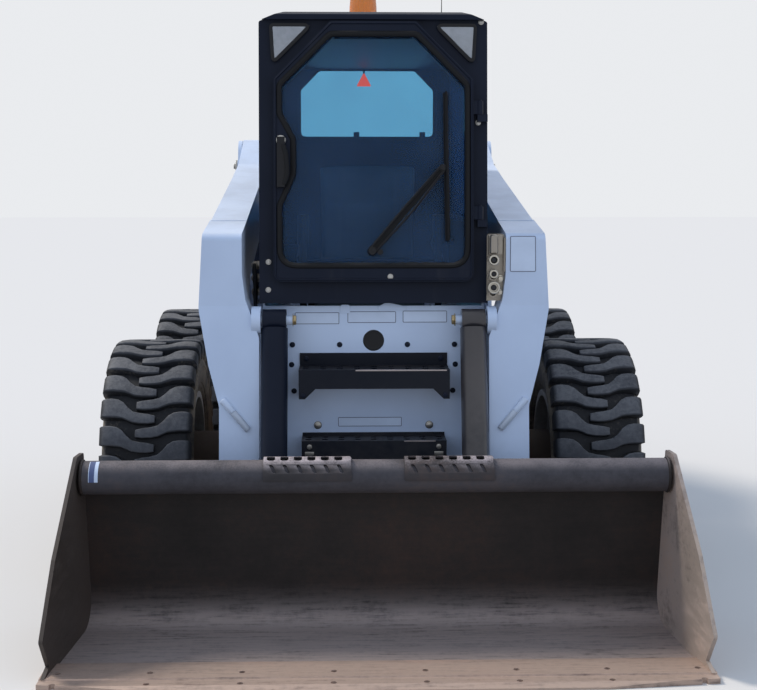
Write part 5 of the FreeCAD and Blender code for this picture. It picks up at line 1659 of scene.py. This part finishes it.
@dataclass
class FrontPanel:
    """Bare plates, bolts, plug and step trims of the white panel below the door."""

    shop: Workshop
    face: float = -0.850
    plate: float = 0.0009
    rim: float = 0.0022
    holes: tuple[Spot2, ...] = ((0.115, 0.868), (0.275, 0.868), (0.278, 0.800), (0.270, 0.710))
    plates: tuple[tuple[float, float, float, float], ...] = (
        (-0.266, 0.938, -0.116, 0.978), (-0.088, 0.942, 0.076, 0.981), (0.099, 0.943, 0.249, 0.983),
        (-0.121, 0.587, 0.096, 0.619))

    def labels(self) -> None:
        """Lay the bare label plates on the panel, each with its thin dark border."""
        faces, rims, behind = Shape(), Shape(), self.face
        for low_x, low_z, high_x, high_z in self.plates:
            outline = rounded_box(low_x, low_z, high_x, high_z, 0.004, 3)
            rims.prism(Axis.Y, behind - self.plate, behind - 0.0001, outline)
            faces.prism(Axis.Y, behind - self.plate - 0.0004, behind - self.plate,
                        grown(outline, -self.rim))
        self.shop.dress(rims.piece("label_borders"), LABEL_RIM, "chassis")
        self.shop.dress(faces.piece("label_plates"), LABEL, "chassis")

    def bolts(self) -> None:
        """Turn the bolts into the panel's and the steps' holes."""
        dark, bright = Shape(), Shape()
        for x, z in self.holes:
            for sign in (1, -1):
                dark.lathe(Axis.Y, (sign * x, self.face, z), [
                    (0.006, 0.0), (0.006, 0.004), (-0.0003, 0.004), (-0.0003, 0.0095),
                                                              (-0.0022, 0.0090), (-0.0034, 0.0065),
                    (-0.0034, 0.0)], 20)
        for sign in (1, -1):
            bright.nut((sign * 0.190, self.face - 0.0002, 0.592), (0, -1, 0), 0.017, 0.008)
            dark.rod((sign * 0.190, self.face - 0.0001, 0.592),
                     (sign * 0.190, self.face - 0.0016, 0.592), 0.0135, 24)
            dark.nut((sign * 0.228, -0.8553, 0.822), (0, -1, 0), 0.014, 0.006)
            dark.nut((sign * 0.236, -0.9753, 0.714), (0, -1, 0), 0.013, 0.006)
            bright.nut((sign * 0.216, -0.9553, 0.537), (0, -1, 0), 0.012, 0.006)
            bright.block((sign * 0.216 - 0.015, -0.9590, 0.506),
                         (sign * 0.216 + 0.015, -0.9553, 0.521))
        self.shop.dress(dark.piece("panel_bolts", 0.0004), BLACK, "chassis", "black_steel")
        self.shop.dress(bright.piece("step_bolts", 0.0006), ZINC, "chassis")

    def plug(self) -> None:
        """Close the round hole with its flat dark plug."""
        shape = Shape().lathe(Axis.Y, (0.0, self.face, 0.8835), [
            (0.006, 0.0), (0.006, 0.0345), (-0.0004, 0.0348), (-0.0012, 0.0345), (-0.0016, 0.0325),
                                                                 (-0.0006, 0.0300),
            (-0.0002, 0.020), (0.0, 0.0)], 48)
        self.shop.dress(shape.piece("panel_plug"), PLASTIC, "chassis", "black_plastic")

    def tabs(self) -> None:
        """Stand the two white tabs on the panel's upper edge."""
        shape = Shape()
        for outline in ([(-0.113, 0.975), (-0.079, 0.975), (-0.079, 1.000), (-0.086, 1.004),
                         (-0.106, 1.004),
                         (-0.113, 1.000)], [(0.016, 0.985), (0.110, 0.985), (0.110, 0.998),
                                            (0.050, 1.0105), (0.042, 1.0105),
                                            (0.016, 0.998)]):
            shape.prism(Axis.Y, self.face - 0.0028, self.face - 0.0001, outline)
        self.shop.dress(shape.piece("panel_tabs", 0.0006), WHITE, "chassis", "white_paint")

    def worn_edges(self) -> None:
        """Lay the bright strips where boots have worn the steps' front edges."""
        shape = Shape()
        for y, z, points in ((-0.975, 0.798,
                              ((-0.062, 0.0), (-0.045, 0.013), (0.02, 0.016), (0.075, 0.012),
                                              (0.15, 0.008), (0.196, 0.004), (0.240, 0.0))),
                             (-0.955, 0.557, ((0.100, 0.0), (0.13, 0.005), (0.18, 0.004),
                                              (0.205, 0.0)))):
            edge = [(x, 0.0) for x, _ in reversed(points)]
            lie = [(x, y + wide + 0.001, z + 0.0004) for x,
                   wide in points] + [(x, y - 0.0004, z + 0.0004) for x, _ in edge]
            hang = [(x, y + wide + 0.001, z - 0.0002) for x,
                    wide in points] + [(x, y - 0.0004, z - 0.0035) for x, _ in edge]
            shape.skin([hang, lie])
        self.shop.dress(shape.piece("worn_edges"), SCUFFED, "chassis")

    def build(self) -> None:
        """Build everything on the panel."""
        self.labels()
        self.bolts()
        self.plug()
        self.tabs()
        self.worn_edges()


# Arms

@dataclass
class Arm:
    """Pin collars, stop bar, label plate and couplers of one lift arm."""

    shop: Workshop
    side: Side
    pivot: Spot2 = (0.995, 1.500)
    hitch: Spot2 = (-1.000, 0.200)
    tilt_top: Spot2 = (-0.930, 0.960)
    bar_high: Point = (0.501, -0.9895, 0.7035)
    bar_low: Point = (0.416, -0.9995, 0.6045)
    bar_radius: float = 0.0112
    # The share of the bar, from its upper end, that carries the painted highlight.
    worn_share: float = 0.42
    front_y: float = -0.955

    def mirrored(self, x: float) -> float:
        """An X on the left arm, on this arm's side."""
        return x * self.side.value

    def keeper(self, shape: Shape, x: float, spot: tuple[float, float], radius: float) -> None:
        """Add a pin's retaining collar and its bolt.

        Args:
            shape: Where it goes.
            x: The plane that it lies on, on the left arm.
            spot: The pin's Y and Z.
            radius: The pin's radius.
        """
        y, z = spot
        way = (self.side.value, 0, 0)
        shape.rod((self.mirrored(x), y, z), (self.mirrored(x + 0.010), y, z), radius, 36)
        shape.nut((self.mirrored(x + 0.0102), y, z), way, radius * 0.8, 0.010)

    def bosses(self) -> None:
        """Build the collars and bolts of the arm's pins."""
        shape = Shape()
        self.keeper(shape, 0.600, self.pivot, 0.0295)
        self.shop.dress(shape.piece("pivot_bolt_" + self.side.word, 0.0008), ZINC, "chassis")
        heel = Shape()
        y, z = self.hitch
        ring = ((0.0002, 0.022), (0.0002, 0.050), (0.004, 0.050), (0.0048, 0.046), (0.0048, 0.022))
        heel.lathe(Axis.X, (self.mirrored(0.512), y, z), [(self.mirrored(a), r) for a, r in ring],
                   40)
        self.shop.dress(heel.piece("hitch_seal_" + self.side.word), RUBBER, "lift_arms", "rubber")
        cap = Shape()
        y, z = self.tilt_top
        cap.nut((self.mirrored(0.270), y, z), (-self.side.value, 0, 0), 0.030, 0.012)
        self.shop.dress(cap.piece("tilt_nut_" + self.side.word, 0.0008), BRASS, "lift_arms")

    def stop_bar(self) -> None:
        """Weld the slanting round bar to the arm's front, with a painted highlight in the pale
        label finish over its upper end.
        """
        high, low = Vector(self.bar_high), Vector(self.bar_low)
        middle = high.lerp(low, self.worn_share)
        for name, start, end, finish in (("bar_worn_", high, middle, LABEL),
                                         ("bar_", middle, low, SCUFFED_WHITE)):
            bar = Shape().rod((self.mirrored(start.x), start.y, start.z),
                              (self.mirrored(end.x), end.y, end.z),
                              self.bar_radius, 24)
            self.shop.dress(bar.piece(name + self.side.word, 0.002), finish, "lift_arms")

    def plates(self) -> None:
        """Lay the left arm's bare label plate on its front."""
        face, rim, skin = Shape(), Shape(), self.front_y
        outline = rounded([(0.4485, 1.121), (0.5345, 1.121), (0.5325, 1.239), (0.4485, 1.239)],
                          0.005, 3)
        rim.prism(Axis.Y, skin - 0.0012, skin + 0.0012, outline)
        face.prism(Axis.Y, skin - 0.0016, skin - 0.0012, grown(outline, -0.0024))
        self.shop.dress(rim.piece("arm_label_border"), LABEL_RIM, "lift_arms")
        self.shop.dress(face.piece("arm_label_plate"), LABEL, "lift_arms")

    def couplers(self) -> None:
        """Build the rounded cover, rings and sleeves of the quick couplers."""
        cap, rings, cores, x = Shape(), Shape(), Shape(), 0.393
        block_y = -0.959
        rows = []
        for out, inset in ((-0.002, 0.0), (0.010, 0.001), (0.018, 0.005), (0.021, 0.011)):
            outline = rounded(grown([(0.3790, 1.181), (0.4080, 1.181), (0.4080, 1.245),
                                     (0.3790, 1.245)], -inset),
                              [0.004, 0.004, 0.0135 - inset * 0.6, 0.0135 - inset * 0.6], 6)
            rows.append([(a, block_y - out, b) for a, b in outline])
        cap.skin(rows)
        for z, radius, far in ((1.161, 0.0175, -0.969), (1.115, 0.0150, -0.966),
                               (1.070, 0.0205, -0.969)):
            rings.lathe(Axis.Y, (x, far, z), [
                (0.006, 0.0102), (0.006, radius - 0.003), (-0.004, radius), (-0.010, radius),
                                              (-0.0125, radius - 0.002),
                (-0.0125, radius - 0.006), (-0.006, radius - 0.0075), (-0.006, 0.0102)], 36)
            cores.lathe(Axis.Y, (x, far, z), [
                (0.012, 0.0), (0.012, 0.0096), (-0.007, 0.0096), (-0.0095, 0.0070), (-0.0100, 0.0)],
                        24)
        rings.nut((0.4195, -0.930, 1.097), (0, -1, 0), 0.017, 0.016)
        rings.nut((0.4195, -0.930, 1.052), (0, -1, 0), 0.014, 0.014)
        self.shop.dress(cap.piece("coupler_cover", 0.001), COUPLER, "lift_arms")
        self.shop.dress(rings.piece("coupler_rings", 0.0006), BRIGHT, "lift_arms")
        self.shop.dress(cores.piece("coupler_cores", 0.0006), IRON, "lift_arms")

    def build(self) -> None:
        """Build everything on the arm."""
        self.bosses()
        self.stop_bar()
        if self.side is Side.LEFT:
            self.plates()
            self.couplers()


# Bucket

@dataclass
class Bucket:
    """Step treads, bare plate and weld beads of the bucket."""

    shop: Workshop
    treads_x: tuple[Spot2, ...] = ((-0.349, -0.100), (0.086, 0.340))
    tread_from: float = 62.0
    tread_step: float = 6.7
    tread_steps: int = 19
    slots_each: int = 6
    slot_rows: tuple[tuple[float, float, float, float], ...] = (
        (93, 117, 0.0125, 0.0), (131, 158, 0.0060, 0.013))
    slot_chamfer: float = 4.0

    def tube(self) -> tuple[float, float, float]:
        """The top tube's centre Y and Z and its radius."""
        low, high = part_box("bucket_tube")
        return (low.y + high.y) / 2, (low.z + high.z) / 2, (high.z - low.z) / 2

    def treads(self) -> None:
        """Bend the two slotted step plates over the top tube."""
        centre_y, centre_z, radius = self.tube()

        def spot(x: float, angle: float, reach: float) -> Point:
            """A point over the tube.

            Args:
                x: Its X.
                angle: Its place round the tube in degrees, from the rear over the top.
                reach: How far it stands off the tube.

            Returns:
                The point.
            """
            turn = math.radians(angle)
            return (x, centre_y + (radius + reach) * math.cos(turn),
                    centre_z + (radius + reach) * math.sin(turn))

        plate, slots = Shape(), Shape()
        for left, right in self.treads_x:
            inner, outer = [], []
            for k in range(self.tread_steps):
                angle = self.tread_from + self.tread_step * k
                reach = 0.006 * math.exp(-((angle - 104) / 26) ** 2)
                end = right + 0.022 * (1
                                       - min(1.0, abs(angle
                                                      - 110) / 90)) + max(0.0, angle - 118) * 0.0003
                inner.append((left, end, angle, reach + 0.0006))
                outer.append((left, end, angle, reach + 0.0062))
            ring = inner + outer[::-1]
            plate.skin([[spot(a, angle, reach) for a, _, angle, reach in ring],
                        [spot(b, angle, reach) for _, b, angle, reach in ring]])
            for k in range(self.slots_each):
                x = left + (right - left) * (k + 0.55) / self.slots_each
                for low, high, half, slant in self.slot_rows:
                    start, end = low + self.slot_chamfer, high - self.slot_chamfer
                    outline = [(-half, start), (-half * 0.5, low), (half * 0.5, low), (half, start),
                               (half, end),
                               (half * 0.5, high), (-half * 0.5, high), (-half, end)]
                    slots.skin([[spot(x + a + slant * (angle - low) / (high - low), angle, reach)
                                 for a, angle in outline]
                                for reach in (-0.002, 0.020)])
        self.shop.dress(plate.carved("tube_treads", slots, 0.0007), RUST_TREAD, "bucket",
                        "rusty_steel")

    def sticker(self) -> None:
        """Wrap the bare pale plate round the tube's right end."""
        centre_y, centre_z, radius = self.tube()
        shape, rim = Shape(), Shape()
        for low, high, reach, target in ((-0.882, -0.853, 0.0006, rim),
                                         (-0.880, -0.864, 0.0011, shape)):
            ring = [(centre_y + (radius + lift) * math.cos(math.radians(a)),
                     centre_z + (radius + lift) * math.sin(math.radians(a)))
                    for lift, angles in ((reach, range(100, 186, 6)), (0.0001, range(184, 98, -6)))
                    for a in angles]
            target.prism(Axis.X, low, high, ring)
        self.shop.dress(rim.piece("tube_plate"), LABEL, "bucket")
        self.shop.dress(shape.piece("tube_plate_inset"), LABEL_INSET, "bucket")

    def welds(self) -> None:
        """Lay the weld beads along the side plates and the tube."""
        centre_y, centre_z, radius = self.tube()
        shape, end = Shape(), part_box("bucket_tube")[1].x
        for side in Side:
            centre = Vector((side.value * (end - 0.004), centre_y, centre_z))
            ring = [centre + Vector((0, radius * math.cos(a), radius * math.sin(a)))
                    for a in (math.radians(70 + 11 * k) for k in range(19))]
            shape.hose(ring, 0.0048, 8, 3)
        self.shop.dress(shape.piece("tube_welds"), RUST, "bucket", "rusty_steel")

    def build(self) -> None:
        """Build everything on the bucket."""
        self.treads()
        self.sticker()
        self.welds()


# Hydraulics

@dataclass
class Ram:
    """Gland and ports of one hydraulic cylinder."""

    shop: Workshop
    kind: str
    side: Side
    base: Spot2
    eye: Spot2
    across: float
    radius: float
    rod_radius: float
    gland: float
    sides: int = 48

    def along(self, reach: float, out: float = 0.0) -> Vector:
        """A point on the cylinder's line.

        Args:
            reach: Distance from the base pin.
            out: How far it stands off the line, towards the front.

        Returns:
            The point.
        """
        start, end = Vector((0, *self.base)), Vector((0, *self.eye))
        way = (end - start).normalized()
        normal = Vector((0, way.z, -way.y))
        if normal.y > 0:
            normal = -normal
        spot = start + way * reach + normal * out
        return Vector((self.across * self.side.value, spot.y, spot.z))

    def build(self) -> None:
        """Build the parts that ride on the barrel."""
        body = "%s_barrel_%s" % (self.kind, self.side.word)
        first = Vector((1, 0, 0))
        second = (self.along(1.0) - self.along(0.0)).normalized().cross(first)
        outer, inner = self.radius + 0.0035, self.rod_radius + 0.0012
        profile = [(self.gland - 0.050, self.radius + 0.0003), (self.gland - 0.050, outer),
                   (self.gland - 0.004, outer),
                   (self.gland + 0.0035, outer - 0.006), (self.gland + 0.0035, inner),
                   (self.gland + 0.0003, inner),
                   (self.gland + 0.0003, self.radius + 0.0003)]
        shape = Shape().skin([[self.along(a) + r
                               * (math.cos(angle) * first + math.sin(angle) * second)
                               for a, r in profile] for angle in turns(self.sides)],
                             round_rows=True)
        self.shop.dress(shape.piece("gland_%s_%s" % (self.kind, self.side.word)), BLACK, body,
                        "black_steel")
        ports = Shape()
        for reach in (0.085, self.gland - 0.075):
            back = -self.radius if self.kind == "tilt" else self.radius
            sign = math.copysign(1.0, back)
            ports.rod(self.along(reach, back - sign * 0.004),
                      self.along(reach, back + sign * 0.009), 0.011, 20)
            ports.nut(self.along(reach, back + sign * 0.0092),
                      self.along(0, sign) - self.along(0, 0), 0.016, 0.006)
        self.shop.dress(ports.piece("ports_%s_%s" % (self.kind, self.side.word), 0.0005),
                        BLACK_WORN, body)


# Tail

@dataclass
class Tail:
    """Lamps of the tail, and the rear door's handle, lock and plate."""

    shop: Workshop

    def lamps(self) -> None:
        """Build a red lamp on each tail post."""
        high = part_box("tail_posts")[1]
        y, lens, rim = high.y, Shape(), Shape()
        for side in Side:
            x = side.value * (high.x - 0.052)
            outline = rounded_box(x - 0.032, 1.06, x + 0.032, 1.20, 0.012, 4)
            rim.prism(Axis.Y, y + 0.0003, y + 0.010, grown(outline, 0.006))
            lens.prism(Axis.Y, y + 0.0103, y + 0.019, outline)
        self.shop.dress(lens.piece("tail_lens", 0.003), RED, "chassis")
        self.shop.dress(rim.piece("tail_rim", 0.002), PLASTIC, "chassis", "black_plastic")

    def latch(self) -> None:
        """Build the rear door's recessed handle, its lock and its bare plate."""
        y, plate, grip, lock = 1.7022, Shape(), Shape(), Shape()
        outline = rounded_box(-0.345, 0.880, -0.285, 1.000, 0.008, 4)
        plate.prism(Axis.Y, y - 0.002, y + 0.003, outline)
        grip.hose([(-0.315, y + 0.002, 0.900), (-0.315, y + 0.024, 0.912),
                   (-0.315, y + 0.026, 0.940),
                   (-0.315, y + 0.026, 0.958), (-0.315, y + 0.002, 0.968)], 0.0075, 12, 10)
        lock.rod((-0.315, y + 0.002, 0.986), (-0.315, y + 0.008, 0.986), 0.008, 20)
        self.shop.dress(plate.piece("tailgate_plate", 0.001), PLASTIC, "tailgate", "black_plastic")
        self.shop.dress(grip.piece("tailgate_handle"), BLACK, "tailgate", "black_steel")
        self.shop.dress(lock.piece("tailgate_lock", 0.0008), ZINC, "tailgate")

    def build(self) -> None:
        """Build everything on the tail."""
        self.lamps()
        self.latch()


def main() -> None:
    """Build the machine."""
    logging.basicConfig(level=logging.INFO, format="%(message)s")
    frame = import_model()
    bpy.context.scene.view_settings.view_transform = "Standard"
    shop = Workshop(frame)
    Studio().build()
    for finish, parts in NODE_FINISH.items():
        for part in parts:
            shop.repaint(part, finish)
    for side in Side:
        for end in End:
            Wheel(shop, side, end).build()
    Cab(shop).build()
    FrontPanel(shop).build()
    Bucket(shop).build()
    for side in Side:
        Arm(shop, side).build()
        Ram(shop, "tilt", side, (-0.930, 0.960), (-1.090, 0.320), 0.330, 0.044, 0.022,
            0.520).build()
        Ram(shop, "lift", side, (1.150, 0.950), (0.500, 1.220), 0.496, 0.045, 0.025, 0.640).build()
    Tail(shop).build()
    LOG.info("%d pieces built", shop.count)


if __name__ == "__main__":
    main()
